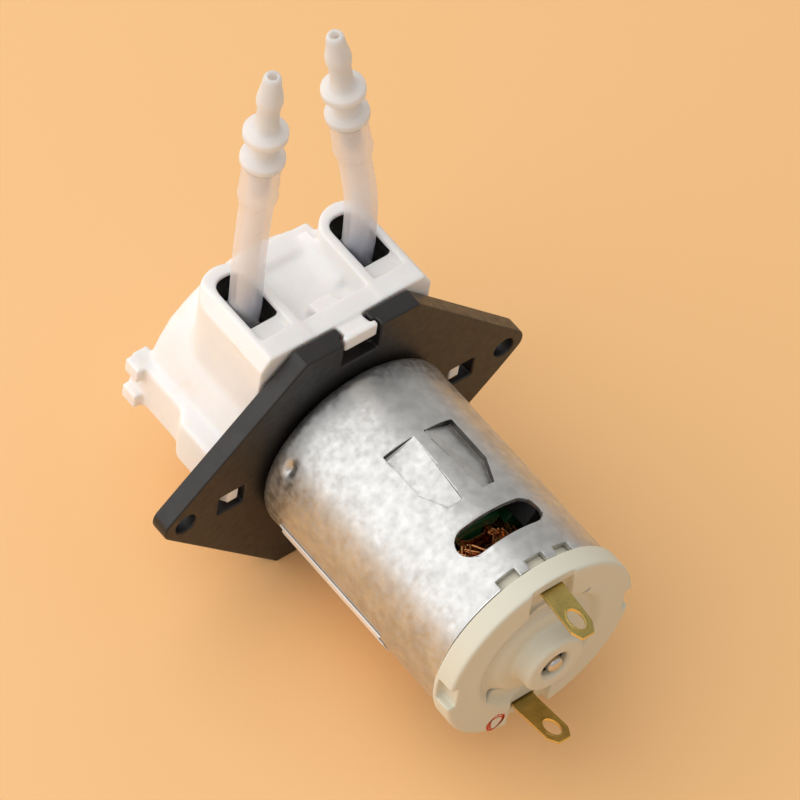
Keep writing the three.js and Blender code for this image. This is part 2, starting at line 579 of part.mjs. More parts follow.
// ---- Armature -------------------------------------------------------------------------------------
piece('motor_shaft', closed(turned([
  [0, SHAFT.front], [SHAFT.r - 0.3, SHAFT.front], [SHAFT.r, SHAFT.front + 0.3],
  [SHAFT.r, SHAFT.rear - 0.6], [SHAFT.r - 0.4, SHAFT.rear - 0.15], [0, SHAFT.rear],
], 24)), STEEL);
piece('front_bearing', closed(ring(SHAFT.r + RUN, CAN.bossR - 1.1, -0.6, 2.6, 24)), BRONZE);
piece('rear_bearing', closed(ring(SHAFT.r + RUN, 2.8, 36.4, 40.3, 24)), BRONZE);
piece('thrust_washer_front', closed(ring(SHAFT.r + RUN, 2.6, 3.0, 3.6, 20)), CARBON);
piece('thrust_washer_rear', closed(ring(SHAFT.r + RUN, 2.6, 34.6, 35.2, 20)), CARBON);

function armatureCore() {
  const { r, shoeR, hubR, toothHalf, front, rear, poles } = CORE;
  const shoeHalf = 28;
  const solids = [solid(ring(0, hubR, front, rear, 20))];
  for (let i = 0; i < poles; i += 1) {
    const a = (360 / poles) * i + 90;
    const tooth = block([hubR - 0.6, front, -toothHalf], [shoeR + 0.6, rear, toothHalf]);
    solids.push(solid(tooth.rotateY(-rad(a))));
    solids.push(solid(alongY(sector(shoeR, r, a - shoeHalf, a + shoeHalf, 6), front, rear)));
  }
  return geometryOf(cut(join(...solids), solid(ring(0, SHAFT.r + RUN, front - 1, rear + 1, 24))));
}
piece('armature_core', armatureCore(), CORE_GREEN);

/** One coil wound round a tooth, as a flat ring standing along the tooth. */
function coil() {
  const { inner, outer, half, front, rear, clear } = COIL;
  const mid = (front + rear) / 2;
  const window = (CORE.rear - CORE.front) / 2 + clear;
  const shape = roundedRect(0, mid, half, (rear - front) / 2, 2.2);
  shape.holes.push(roundedRect(0, mid, CORE.toothHalf + clear, window, 0.4));
  const narrow = 0.62;
  const g = new THREE.ExtrudeGeometry(shape, { depth: outer - inner, bevelEnabled: false, curveSegments: 2 });
  const p = g.getAttribute('position');
  for (let i = 0; i < p.count; i += 1) {
    const x = p.getX(i);
    const atRoot = p.getZ(i) < 0.1 && Math.abs(x) > CORE.toothHalf + clear + 0.05;
    if (atRoot) p.setX(i, Math.sign(x) * Math.min(Math.abs(x), half - narrow));
  }
  return g.translate(0, 0, inner);
}
for (let i = 0; i < CORE.poles; i += 1) {
  piece(`winding_${i + 1}`, closed(coil()), COPPER).rotation.y = rad((360 / CORE.poles) * i);
}
piece('commutator', closed(turned([
  [SHAFT.r + RUN, 28.7], [2.4, 28.7], [2.4, COMMUTATOR.front], [COMMUTATOR.r + 0.5, COMMUTATOR.front],
  [COMMUTATOR.r + 0.5, COMMUTATOR.front + 0.4], [COMMUTATOR.r, COMMUTATOR.front + 0.4],
  [COMMUTATOR.r, COMMUTATOR.rear], [SHAFT.r + RUN, COMMUTATOR.rear],
], 24)), COPPER);

export default pump;
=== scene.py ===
"""A small peristaltic pump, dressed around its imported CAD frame.

The classes hold their sizes in millimetres, in the frame's own axes: the motor axis is Y, from the
roller head (-Y) to the terminals (+Y), +Z is the way the tubes leave, and X runs across the flange.
The meshes are in metres. Each finished piece sits at the origin with its place in its mesh.
"""

import logging
import math
import random
from collections.abc import Callable, Iterator, Sequence
from contextlib import contextmanager
from dataclasses import dataclass
from enum import Enum

import bmesh
import bpy
from mathutils import Matrix, Vector


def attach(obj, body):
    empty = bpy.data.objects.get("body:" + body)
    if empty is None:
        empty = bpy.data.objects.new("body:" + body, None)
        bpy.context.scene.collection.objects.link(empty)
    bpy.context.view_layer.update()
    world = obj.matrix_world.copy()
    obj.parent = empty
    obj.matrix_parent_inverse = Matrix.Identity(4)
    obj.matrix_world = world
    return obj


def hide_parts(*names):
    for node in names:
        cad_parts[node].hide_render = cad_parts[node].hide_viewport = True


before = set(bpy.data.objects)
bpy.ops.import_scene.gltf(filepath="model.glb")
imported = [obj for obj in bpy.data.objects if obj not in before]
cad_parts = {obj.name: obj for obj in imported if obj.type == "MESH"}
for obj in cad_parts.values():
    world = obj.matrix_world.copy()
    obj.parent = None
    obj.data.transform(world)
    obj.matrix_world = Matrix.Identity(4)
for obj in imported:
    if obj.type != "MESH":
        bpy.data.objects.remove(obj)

LOG = logging.getLogger("pump")
MM = 0.001
WELD = 2e-6
Obj = bpy.types.Object
Socket = bpy.types.NodeSocket
Point2 = tuple[float, float]
Point3 = tuple[float, float, float]
RGB = tuple[float, float, float]
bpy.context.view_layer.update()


class Plane(Enum):
    """The plane that an outline is drawn in. It is extruded along the third direction."""

    XZ = "Y"
    XY = "Z"
    YZ = "X"

    def at(self, u: float, v: float, w: float) -> Vector:
        """Turns a drawn point into the frame.

        Args:
            u: First drawn coordinate, in millimetres.
            v: Second drawn coordinate, in millimetres.
            w: Place along the extrusion, in millimetres.

        Returns:
            The point in metres.
        """
        placed = {Plane.XZ: (u, w, v), Plane.XY: (u, v, w), Plane.YZ: (w, u, v)}
        return Vector(placed[self]) * MM


class Draw:
    """Outlines and profiles, in millimetres."""

    @staticmethod
    def arc(cu: float, cv: float, r: float, start: float, end: float, steps: int = 8) -> list[Point2]:
        """Points on an arc.

        Args:
            cu: Centre, first coordinate.
            cv: Centre, second coordinate.
            r: Radius.
            start: First angle, in degrees.
            end: Last angle, in degrees.
            steps: Number of chords.

        Returns:
            The points, both ends included.
        """
        angles = (math.radians(start + (end - start) * i / steps) for i in range(steps + 1))
        return [(cu + r * math.cos(a), cv + r * math.sin(a)) for a in angles]

    @staticmethod
    def rounded(cu: float, cv: float, hu: float, hv: float, r: float, steps: int = 8) -> list[Point2]:
        """A round-cornered rectangle.

        Args:
            cu: Centre, first coordinate.
            cv: Centre, second coordinate.
            hu: Half the first side.
            hv: Half the second side.
            r: Corner radius.
            steps: Chords to a corner.

        Returns:
            The closed outline.
        """
        points: list[Point2] = []
        for su, sv, start in ((1, 1, 0), (-1, 1, 90), (-1, -1, 180), (1, -1, 270)):
            points += Draw.arc(cu + su * (hu - r), cv + sv * (hv - r), r, start, start + 90, steps)
        return points

    @staticmethod
    def oval(cu: float, cv: float, hu: float, hv: float, steps: int = 40) -> list[Point2]:
        """A closed oval about a centre, by its two half sizes."""
        turns = (math.tau * i / steps for i in range(steps))
        return [(cu + hu * math.cos(a), cv + hv * math.sin(a)) for a in turns]

    @staticmethod
    def eased(points: Sequence[Point2], rounds: int = 2) -> list[Point2]:
        """Cuts the corners of a profile until it runs smoothly, its two ends kept.

        Args:
            points: The profile.
            rounds: How many times the corners are cut.

        Returns:
            The eased profile.
        """
        line = [Vector(p) for p in points]
        for _ in range(rounds):
            cut = [line[0]]
            for a, b in zip(line, line[1:]):
                cut += [a.lerp(b, 0.25), a.lerp(b, 0.75)]
            line = [*cut, line[-1]]
        return [(p.x, p.y) for p in line]

    @staticmethod
    def mirrored(points: Sequence[Point2], side: int) -> list[Point2]:
        """The outline on the +X side, or its mirror image for side -1."""
        return [(side * u, v) for u, v in points]


class Bench:
    """The modelling tools, used the way a hand would."""

    @staticmethod
    def clear() -> None:
        """Deselects everything."""
        bpy.ops.object.select_all(action="DESELECT")

    @staticmethod
    def pick(obj: Obj) -> None:
        """Selects one object alone and makes it active."""
        Bench.clear()
        obj.select_set(True)
        bpy.context.view_layer.objects.active = obj

    @staticmethod
    @contextmanager
    def editing(obj: Obj) -> Iterator[None]:
        """Edit mode on one object, with all of its mesh selected."""
        Bench.pick(obj)
        bpy.ops.object.mode_set(mode="EDIT")
        bpy.ops.mesh.select_all(action="SELECT")
        yield
        bpy.ops.object.mode_set(mode="OBJECT")

    @staticmethod
    def apply(obj: Obj, kind: str, **settings: object) -> None:
        """Adds one modifier and applies it.

        Args:
            obj: The object.
            kind: The modifier's type.
            settings: The modifier's values.
        """
        modifier = obj.modifiers.new(kind.lower(), kind)
        for key, value in settings.items():
            setattr(modifier, key, value)
        Bench.pick(obj)
        bpy.ops.object.modifier_apply(modifier=modifier.name)

    @staticmethod
    def wire(name: str, points: Sequence[Vector], closed: bool = True) -> Obj:
        """A chain of vertices, pulled out one after another from a single one.

        Args:
            name: The object's name.
            points: The chain's points in metres.
            closed: Whether the last point joins the first.

        Returns:
            The object, at the origin.
        """
        Bench.clear()
        bpy.ops.mesh.primitive_plane_add(size=MM, location=points[0])
        obj = bpy.context.object
        obj.name = obj.data.name = name
        bpy.ops.object.transform_apply(location=True, rotation=True, scale=True)
        with Bench.editing(obj):
            bpy.ops.mesh.merge(type="CENTER")
            for here, there in zip(points, points[1:]):
                bpy.ops.mesh.extrude_vertices_move(TRANSFORM_OT_translate={"value": there - here})
            if closed:
                bpy.ops.mesh.select_all(action="DESELECT")
                mesh = bmesh.from_edit_mesh(obj.data)
                mesh.verts.ensure_lookup_table()
                for end in (mesh.verts[0], mesh.verts[len(mesh.verts) - 1]):
                    end.select_set(True)
                bpy.ops.mesh.edge_face_add()
        return obj

    @staticmethod
    def prism(name: str, outline: Sequence[Point2], plane: Plane, low: float, high: float) -> Obj:
        """A closed outline, filled and extruded.

        Args:
            name: The object's name.
            outline: The outline in millimetres.
            plane: The plane that it is drawn in.
            low: Where the extrusion starts.
            high: Where it ends.

        Returns:
            The closed solid.
        """
        obj = Bench.wire(name, [plane.at(u, v, low) for u, v in outline])
        with Bench.editing(obj):
            bpy.ops.mesh.edge_face_add()
            bpy.ops.mesh.extrude_region_move(
                TRANSFORM_OT_translate={"value": plane.at(0, 0, high - low)}
            )
            bpy.ops.mesh.select_all(action="SELECT")
            bpy.ops.mesh.normals_make_consistent(inside=False)
        return obj

    @staticmethod
    def block(name: str, low: Point3, high: Point3) -> Obj:
        """A box between two corners, drawn and extruded along Z."""
        (x0, x1), (y0, y1) = (sorted((low[i], high[i])) for i in (0, 1))
        corners = [(x0, y0), (x1, y0), (x1, y1), (x0, y1)]
        return Bench.prism(name, corners, Plane.XY, *sorted((low[2], high[2])))

    @staticmethod
    def lathe(
        name: str,
        profile: Sequence[Point2],
        steps: int = 96,
        centre: Point3 = (0, 0, 0),
        axis: Point3 = (0, 1, 0),
        ring: bool = True,
    ) -> Obj:
        """A profile of radius and height, spun a full turn.

        Args:
            name: The object's name.
            profile: Radius and height pairs in millimetres.
            steps: Number of steps in the turn.
            centre: A point on the axis, in millimetres.
            axis: The axis, towards which the height grows.
            ring: Whether the profile is a closed loop clear of the axis.

        Returns:
            The closed solid.
        """
        along = Vector(axis).normalized()
        out = along.orthogonal().normalized()
        foot = Vector(centre) * MM
        points = [foot + (out * r + along * h) * MM for r, h in profile]
        obj = Bench.wire(name, points, closed=ring)
        with Bench.editing(obj):
            bpy.ops.mesh.spin(steps=steps, angle=math.tau, center=foot, axis=along)
            bpy.ops.mesh.select_all(action="SELECT")
            bpy.ops.mesh.remove_doubles(threshold=WELD)
            bpy.ops.mesh.normals_make_consistent(inside=False)
        return obj

    @staticmethod
    def carve(body: Obj, *tools: Obj, operation: str = "DIFFERENCE") -> Obj:
        """Cuts tools out of a body, joins them to it or keeps what they share.

        Args:
            body: The solid that is kept.
            tools: The solids that are used up.
            operation: DIFFERENCE, UNION or INTERSECT.

        Returns:
            The body.
        """
        for tool in tools:
            Bench.apply(body, "BOOLEAN", operation=operation, object=tool, solver="EXACT")
            bpy.data.meshes.remove(tool.data)
        return body

    @staticmethod
    def fuse(body: Obj, *tools: Obj) -> Obj:
        """Joins solids to a body."""
        return Bench.carve(body, *tools, operation="UNION")

    @staticmethod
    def soften(obj: Obj, width: float, segments: int = 3, angle: float = 32, tidy: bool = True) -> Obj:
        """Rounds the sharp edges of a solid.

        Args:
            obj: The solid.
            width: Width of the rounding in millimetres.
            segments: Faces across the rounding.
            angle: Edges sharper than this many degrees are rounded.
            tidy: Whether flat neighbours are merged first.

        Returns:
            The solid, smooth between its edges.
        """
        with Bench.editing(obj):
            bpy.ops.mesh.remove_doubles(threshold=5 * WELD)
            if tidy:
                bpy.ops.mesh.dissolve_limited(angle_limit=math.radians(0.4))
        Bench.apply(
            obj,
            "BEVEL",
            width=width * MM,
            segments=segments,
            limit_method="ANGLE",
            angle_limit=math.radians(angle),
            use_clamp_overlap=False,
            miter_outer="MITER_ARC",
        )
        Bench.smooth(obj)
        Bench.apply(obj, "WEIGHTED_NORMAL", weight=50, keep_sharp=True)
        return obj

    @staticmethod
    def melt(
        obj: Obj, voxel: float, passes: int, soft: Callable[[Vector], bool] | None = None, extra: int = 0
    ) -> Obj:
        """Gives a solid the soft edges of a moulding by remeshing and relaxing it.

        Args:
            obj: The solid.
            voxel: Mesh size in millimetres.
            passes: How often the whole mesh is relaxed.
            soft: Takes a place in millimetres and says whether it is relaxed further.
            extra: How often those places are relaxed.

        Returns:
            The solid.
        """
        obj.data.remesh_voxel_size = voxel * MM
        Bench.pick(obj)
        bpy.ops.object.voxel_remesh()
        if soft:
            group = obj.vertex_groups.new(name="fillets")
            group.add([v.index for v in obj.data.vertices if soft(v.co / MM)], 1.0, "REPLACE")
            Bench.apply(obj, "SMOOTH", factor=0.5, iterations=extra, vertex_group=group.name)
        Bench.apply(obj, "SMOOTH", factor=0.5, iterations=passes)
        bpy.ops.object.shade_smooth()
        return obj

    @staticmethod
    def smooth(obj: Obj, angle: float = 38) -> Obj:
        """Shades an object smooth up to an angle in degrees."""
        Bench.pick(obj)
        bpy.ops.object.shade_smooth_by_angle(angle=math.radians(angle))
        return obj

    @staticmethod
    def join(name: str, parts: Sequence[Obj]) -> Obj:
        """Joins objects into one, under a new name."""
        Bench.clear()
        for part in parts:
            part.select_set(True)
        bpy.context.view_layer.objects.active = parts[0]
        bpy.ops.object.join()
        parts[0].name = parts[0].data.name = name
        return parts[0]

    @staticmethod
    def copy_of(node: str, name: str, width: float, segments: int = 2) -> Obj:
        """A welded copy of a CAD node with its edges rounded.

        Args:
            node: The CAD node.
            name: The new piece's name.
            width: Width of the rounding in millimetres.
            segments: Faces across the rounding.

        Returns:
            The new piece.
        """
        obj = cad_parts[node].copy()
        obj.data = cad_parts[node].data.copy()
        for key in list(obj.keys()):
            del obj[key]
        obj.parent = None
        obj.data.materials.clear()
        bpy.context.scene.collection.objects.link(obj)
        obj.name = obj.data.name = name
        with Bench.editing(obj):
            bpy.ops.mesh.remove_doubles(threshold=WELD)
        return Bench.soften(obj, width, segments)

    @staticmethod
    def turned(obj: Obj, name: str, degrees: float) -> Obj:
        """A copy with its own mesh, turned about the motor axis.

        Args:
            obj: The finished piece.
            name: The copy's name.
            degrees: The turn about +Y.

        Returns:
            The copy, at the origin.
        """
        twin = obj.copy()
        twin.data = obj.data.copy()
        twin.name = twin.data.name = name
        bpy.context.scene.collection.objects.link(twin)
        twin.data.transform(Matrix.Rotation(math.radians(degrees), 4, "Y"))
        return twin

    @staticmethod
    def nudge(obj: Obj, move: Callable[[Vector], Vector]) -> Obj:
        """Moves each vertex of a piece by a rule of its place.

        Args:
            obj: The piece.
            move: Takes a place in millimetres and gives the new one.

        Returns:
            The piece.
        """
        for vertex in obj.data.vertices:
            vertex.co = move(vertex.co / MM) * MM
        obj.data.update()
        return obj


class Recipe:
    """A material while its nodes are laid out, on Object coordinates."""

    def __init__(self, name: str, **settings: object) -> None:
        """Starts a material.

        Args:
            name: The material's name.
            settings: Values for the shader's sockets, with underscores for spaces.
        """
        self.material = bpy.data.materials.new(name)
        self.material.use_nodes = True
        self.tree = self.material.node_tree
        self.shader = self.tree.nodes["Principled BSDF"]
        self.coords = self.tree.nodes.new("ShaderNodeTexCoord").outputs["Object"]
        for key, value in settings.items():
            if isinstance(value, tuple) and len(value) == 3 and key != "Subsurface_Radius":
                value = (*value, 1.0)
            self.shader.inputs[key.replace("_", " ")].default_value = value

    def node(self, kind: str, **inputs: object) -> bpy.types.Node:
        """Adds a node and fills its inputs from sockets or values."""
        made = self.tree.nodes.new(kind)
        for key, value in inputs.items():
            socket = made.inputs[key.replace("_", " ")]
            if isinstance(value, Socket):
                self.tree.links.new(value, socket)
            else:
                socket.default_value = value
        return made

    def noise(self, size: float, detail: float = 3, stretch: Point3 = (1, 1, 1)) -> Socket:
        """Noise whose lumps are about size millimetres, stretched along the axes."""
        mapped = self.node("ShaderNodeMapping", Vector=self.coords, Scale=stretch)
        made = self.node(
            "ShaderNodeTexNoise", Vector=mapped.outputs[0], Scale=1 / (size * MM), Detail=detail
        )
        return made.outputs[0]

    def cells(self, size: float) -> Socket:
        """A random grey for each cell, of about size millimetres."""
        made = self.node("ShaderNodeTexVoronoi", Vector=self.coords, Scale=1 / (size * MM))
        return self.node("ShaderNodeSeparateColor", Color=made.outputs["Color"]).outputs[0]

    def place(self, axis: int) -> Socket:
        """One coordinate of the place on the piece, in metres."""
        return self.node("ShaderNodeSeparateXYZ", Vector=self.coords).outputs[axis]

    def remap(self, source: Socket, low: float, high: float, to: Point2 = (0, 1)) -> Socket:
        """Maps a value from a range to another, without running over."""
        made = self.node("ShaderNodeMapRange", Value=source, From_Min=low, From_Max=high)
        made.inputs["To Min"].default_value, made.inputs["To Max"].default_value = to
        return made.outputs[0]

    def times(self, a: Socket, b: Socket | float) -> Socket:
        """The product of two values."""
        made = self.tree.nodes.new("ShaderNodeMath")
        made.operation = "MULTIPLY"
        self.tree.links.new(a, made.inputs[0])
        if isinstance(b, Socket):
            self.tree.links.new(b, made.inputs[1])
        else:
            made.inputs[1].default_value = b
        return made.outputs[0]

    def mix(self, share: Socket, a: RGB | Socket, b: RGB | Socket) -> Socket:
        """A colour between two, by share."""
        made = self.tree.nodes.new("ShaderNodeMix")
        made.data_type = "RGBA"
        self.tree.links.new(share, made.inputs[0])
        for index, colour in ((6, a), (7, b)):
            if isinstance(colour, Socket):
                self.tree.links.new(colour, made.inputs[index])
            else:
                made.inputs[index].default_value = (*colour, 1)
        return made.outputs[2]

    def feed(self, key: str, source: Socket) -> None:
        """Links a value or colour to one of the shader's sockets."""
        self.tree.links.new(source, self.shader.inputs[key])

    def relief(self, height: Socket, strength: float, depth: float) -> None:
        """Raises the surface by a height map, of depth millimetres."""
        made = self.node("ShaderNodeBump", Height=height, Strength=strength, Distance=depth * MM)
        self.feed("Normal", made.outputs[0])


def shade(colour: RGB, by: float) -> RGB:
    """A colour made lighter or darker by a factor."""
    return tuple(min(1.0, c * by) for c in colour)


@dataclass(frozen=True)
class Moulding:
    """An opaque or waxy moulded plastic."""

    name: str
    colour: RGB
    roughness: float = 0.4
    subsurface: float = 0.0
    depth: RGB = (0.8, 0.6, 0.45)
    cloud: float = 0.06
    grain: float = 0.05
    grain_size: float = 0.25
    specks: float = 0.0
    stain: RGB | None = None

    def material(self) -> bpy.types.Material:
        """The material, made once."""
        known = bpy.data.materials.get(self.name)
        if known:
            return known
        recipe = Recipe(
            self.name,
            Base_Color=self.colour,
            Subsurface_Weight=self.subsurface,
            Subsurface_Radius=self.depth,
            Subsurface_Scale=1.2 * MM,
            IOR=1.49,
        )
        cloud = recipe.noise(6, detail=4)
        colour = recipe.mix(
            recipe.remap(cloud, 0.35, 0.65),
            shade(self.colour, 1 - self.cloud),
            shade(self.colour, 1 + self.cloud / 2),
        )
        if self.stain:
            mark = recipe.remap(recipe.noise(3.2, detail=5), 0.6, 0.78, (0, 0.5))
            colour = recipe.mix(mark, colour, self.stain)
        if self.specks:
            dots = recipe.remap(recipe.noise(0.5, detail=1), 0.73, 0.76, (0, self.specks))
            colour = recipe.mix(dots, colour, shade(self.colour, 0.3))
        recipe.feed("Base Color", colour)
        wear = recipe.noise(1.1, detail=5)
        recipe.feed(
            "Roughness",
            recipe.remap(wear, 0.3, 0.7, (self.roughness - 0.06, self.roughness + 0.08)),
        )
        recipe.relief(recipe.noise(self.grain_size, detail=2), 0.5, self.grain)
        return recipe.material


@dataclass(frozen=True)
class Metal:
    """Sheet, wire, turned or sintered metal."""

    name: str
    colour: RGB
    roughness: float = 0.3
    cloud: float = 0.1
    cloud_size: float = 5.0
    spangle: float = 0.0
    brushed: Point3 = (1, 1, 1)
    pits: float = 0.03
    metallic: float = 1.0
    dirt: RGB = (0.12, 0.11, 0.1)
    dirt_share: float = 0.0

    def material(self) -> bpy.types.Material:
        """The material, made once."""
        known = bpy.data.materials.get(self.name)
        if known:
            return known
        recipe = Recipe(self.name, Base_Color=self.colour, Metallic=self.metallic)
        patches = recipe.noise(self.cloud_size, detail=6)
        colour = recipe.mix(
            recipe.remap(patches, 0.32, 0.68),
            shade(self.colour, 1 - self.cloud),
            shade(self.colour, 1 + self.cloud / 2),
        )
        if self.spangle:
            flakes = recipe.times(recipe.cells(1.7), self.spangle)
            colour = recipe.mix(flakes, colour, shade(self.colour, 0.82))
        if self.dirt_share:
            marks = recipe.remap(recipe.noise(0.9, detail=2), 0.7, 0.78, (0, self.dirt_share))
            colour = recipe.mix(marks, colour, self.dirt)
        recipe.feed("Base Color", colour)
        lines = recipe.noise(0.5, detail=6, stretch=self.brushed)
        spread = (self.roughness * 0.7, min(1.0, self.roughness * 1.35))
        recipe.feed("Roughness", recipe.remap(lines, 0.3, 0.7, spread))
        recipe.relief(lines, 0.35, self.pits)
        return recipe.material


@dataclass(frozen=True)
class Milky:
    """Soft translucent silicone or natural polypropylene."""

    name: str
    colour: RGB
    roughness: float
    transmission: float
    subsurface: float
    ior: float = 1.41
    cloud: float = 0.05
    alpha: float = 1.0
    shadow: RGB | None = None
    shadow_top: float = 29.0

    def material(self) -> bpy.types.Material:
        """The material, made once."""
        known = bpy.data.materials.get(self.name)
        if known:
            return known
        recipe = Recipe(
            self.name,
            Base_Color=self.colour,
            Transmission_Weight=self.transmission,
            Subsurface_Weight=self.subsurface,
            Subsurface_Radius=(1, 0.85, 0.75),
            Subsurface_Scale=3.0 * MM,
            IOR=self.ior,
            Alpha=self.alpha,
        )
        haze = recipe.noise(3.5, detail=4, stretch=(1, 1, 0.35))
        colour = recipe.mix(
            recipe.remap(haze, 0.3, 0.7), shade(self.colour, 1 - self.cloud), self.colour
        )
        if self.shadow:
            top = self.shadow_top * MM
            low = recipe.remap(recipe.place(2), top, top - 8 * MM)
            share = recipe.times(low, recipe.remap(haze, 0.35, 0.62, (0.15, 1.0)))
            colour = recipe.mix(share, colour, self.shadow)
        recipe.feed("Base Color", colour)
        film = recipe.noise(1.4, detail=4)
        spread = (self.roughness - 0.05, self.roughness + 0.1)
        recipe.feed("Roughness", recipe.remap(film, 0.3, 0.7, spread))
        return recipe.material


Finish = Moulding | Metal | Milky

WHITE = Moulding(
    "white_moulding", (0.88, 0.86, 0.845), 0.42, subsurface=0.6, cloud=0.03, grain=0.02,
    stain=(0.80, 0.74, 0.62),
)
BLACK = Moulding(
    "black_moulding", (0.014, 0.0125, 0.012), 0.4, cloud=0.25, grain=0.05, grain_size=0.2,
    stain=(0.028, 0.024, 0.021),
)
IVORY = Moulding("ivory_nylon", (0.74, 0.66, 0.45), 0.34, subsurface=0.15, grain=0.03)
CAP = Moulding(
    "cap_nylon", (0.60, 0.555, 0.40), 0.32, subsurface=0.35, cloud=0.12, grain=0.02, specks=0.7,
    stain=(0.50, 0.43, 0.27),
)
CARBON = Moulding("pressed_carbon", (0.035, 0.034, 0.034), 0.6, cloud=0.3, grain=0.06)
FERRITE = Moulding("sintered_ferrite", (0.018, 0.018, 0.018), 0.7, cloud=0.2, grain=0.08)
ENAMEL = Moulding("green_enamel", (0.018, 0.115, 0.04), 0.32, cloud=0.25, grain=0.12, grain_size=0.6)
FILM = Moulding("label_film", (0.88, 0.86, 0.83), 0.35, cloud=0.02, grain=0.01)
INK = Moulding("red_ink", (0.62, 0.045, 0.02), 0.4, cloud=0.35, grain=0.02, grain_size=0.15)
ZINC = Metal(
    "galvanised_sheet", (0.60, 0.60, 0.59), 0.4, cloud=0.16, cloud_size=1.8, spangle=0.14,
    brushed=(0.6, 0.6, 0.6), pits=0.004, metallic=0.95,
)
ZINC_EDGE = Metal("cut_sheet_edge", (0.82, 0.82, 0.83), 0.22, cloud=0.05, pits=0.02)
# Painted shade: a dark metal for the pockets' outer walls, standing for the shade that falls in the pockets.
POCKET_SHADE = Metal("painted_pocket_shade", (0.13, 0.12, 0.11), 0.45, cloud=0.3, cloud_size=1.0, pits=0.03)
STEEL = Metal("ground_steel", (0.66, 0.65, 0.64), 0.16, cloud=0.08, brushed=(1, 6, 1), pits=0.01)
BRASS = Metal(
    "stamped_brass", (0.50, 0.38, 0.12), 0.34, cloud=0.22, cloud_size=2.5, brushed=(5, 1, 5),
    pits=0.03, dirt=(0.2, 0.16, 0.07), dirt_share=0.5,
)
BRASS_EDGE = Metal("sheared_brass", (0.85, 0.66, 0.27), 0.24, cloud=0.08, pits=0.02)
COPPER = Metal(
    "enamelled_copper", (0.98, 0.42, 0.16), 0.26, cloud=0.25, cloud_size=1.6, pits=0.02
)
BRONZE = Metal(
    "sintered_bronze", (0.22, 0.13, 0.075), 0.42, cloud=0.3, cloud_size=0.8, pits=0.06,
    dirt=(0.6, 0.55, 0.5), dirt_share=0.6,
)
SILICONE = Milky(
    "milky_silicone", (0.97, 0.93, 0.92), 0.3, 0.0, 0.0, alpha=0.45, shadow=(0.42, 0.46, 0.58), shadow_top=27.0
)
FROSTED = Milky("frosted_polypropylene", (0.98, 0.94, 0.92), 0.4, 0.2, 0.9, ior=1.45)


def install(piece: Obj, body: str, slot: str, finish: Finish, *nodes: str) -> Obj:
    """Gives a piece its finish and its place in the frame.

    Args:
        piece: The finished mesh.
        body: The CAD body it moves with.
        slot: The record's material slot; not used.
        finish: Its finish.
        nodes: The CAD nodes that it stands for.

    Returns:
        The piece.
    """
    piece.data.materials.clear()
    piece.data.materials.append(finish.material())
    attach(piece, body)
    if nodes:
        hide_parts(*nodes)
    LOG.info("%s on %s: %d faces, %s", piece.name, body, len(piece.data.polygons), finish.name)
    return piece


def second_finish(piece: Obj, finish: Finish, test: Callable[[Vector, Vector], bool]) -> None:
    """Dresses the faces that pass a test in a second finish.

    Args:
        piece: The piece, with its first finish on.
        finish: The second finish.
        test: Takes a face's centre in millimetres and its normal.
    """
    piece.data.materials.append(finish.material())
    for face in piece.data.polygons:
        if test(face.center / MM, face.normal):
            face.material_index = len(piece.data.materials) - 1


@dataclass
class BaseFlange:
    """The black diamond plate between the head and the motor."""

    thick: float = 2.8
    half_height: float = 20.36
    flat_half: float = 8.73
    hole_x: float = 25.0
    hole_r: float = 1.5
    tip: tuple[float, float] = (28.2, 2.15)
    window: tuple[float, float, float, float] = (18.0, 4.0, 3.4, -0.2)
    notch: tuple[float, float, float, float] = (2.25, 2.85, 15.8, 1.4)

    def outline(self) -> list[Point2]:
        """The diamond with its flats and its round tips."""
        reach, r = self.tip
        right = [
            (self.flat_half, -self.half_height),
            *Draw.arc(reach - r, 0, r, -45, 45, 14),
            (self.flat_half, self.half_height),
        ]
        return right + [(-x, -z) for x, z in right]

    def build(self) -> None:
        """Models the plate and installs it."""
        plate = Bench.prism("flange_plate", self.outline(), Plane.XZ, -self.thick, 0)
        spigot = [(12.2, -5.2), (13.4, -5.2), (13.4, -2.3), (12.2, -2.3)]
        Bench.fuse(plate, Bench.lathe("spigot", spigot))
        x, width, height, z = self.window
        half, undercut, floor, lip = self.notch
        top = self.half_height + 1
        cuts = [
            Bench.block("notch", (-half, -4, floor), (half, 1, top)),
            Bench.block("undercut", (-undercut, -lip, floor), (undercut, 1, top)),
            Bench.lathe("bore", [(0, -6), (5.3, -6), (5.3, 1), (0, 1)], ring=False),
        ]
        for s in (1, -1):
            hole = [(0, -4), (self.hole_r, -4), (self.hole_r, 1), (0, 1)]
            cuts.append(Bench.lathe("hole", hole, 40, (s * self.hole_x, 0, 0), ring=False))
            low = (s * x - width / 2, -4, z - height / 2)
            cuts.append(Bench.block("window", low, (s * x + width / 2, 1, z + height / 2)))
            screw = [(0, -6), (2.5, -6), (2.5, -1.5), (1.55, -1.5), (1.55, 1), (0, 1)]
            cuts.append(Bench.lathe("screw_hole", screw, 32, (s * 8.0, 0, 0), ring=False))
        Bench.carve(plate, *cuts)
        Bench.soften(plate, 0.28)
        install(plate, "root", "black_plastic", BLACK, "base_flange")


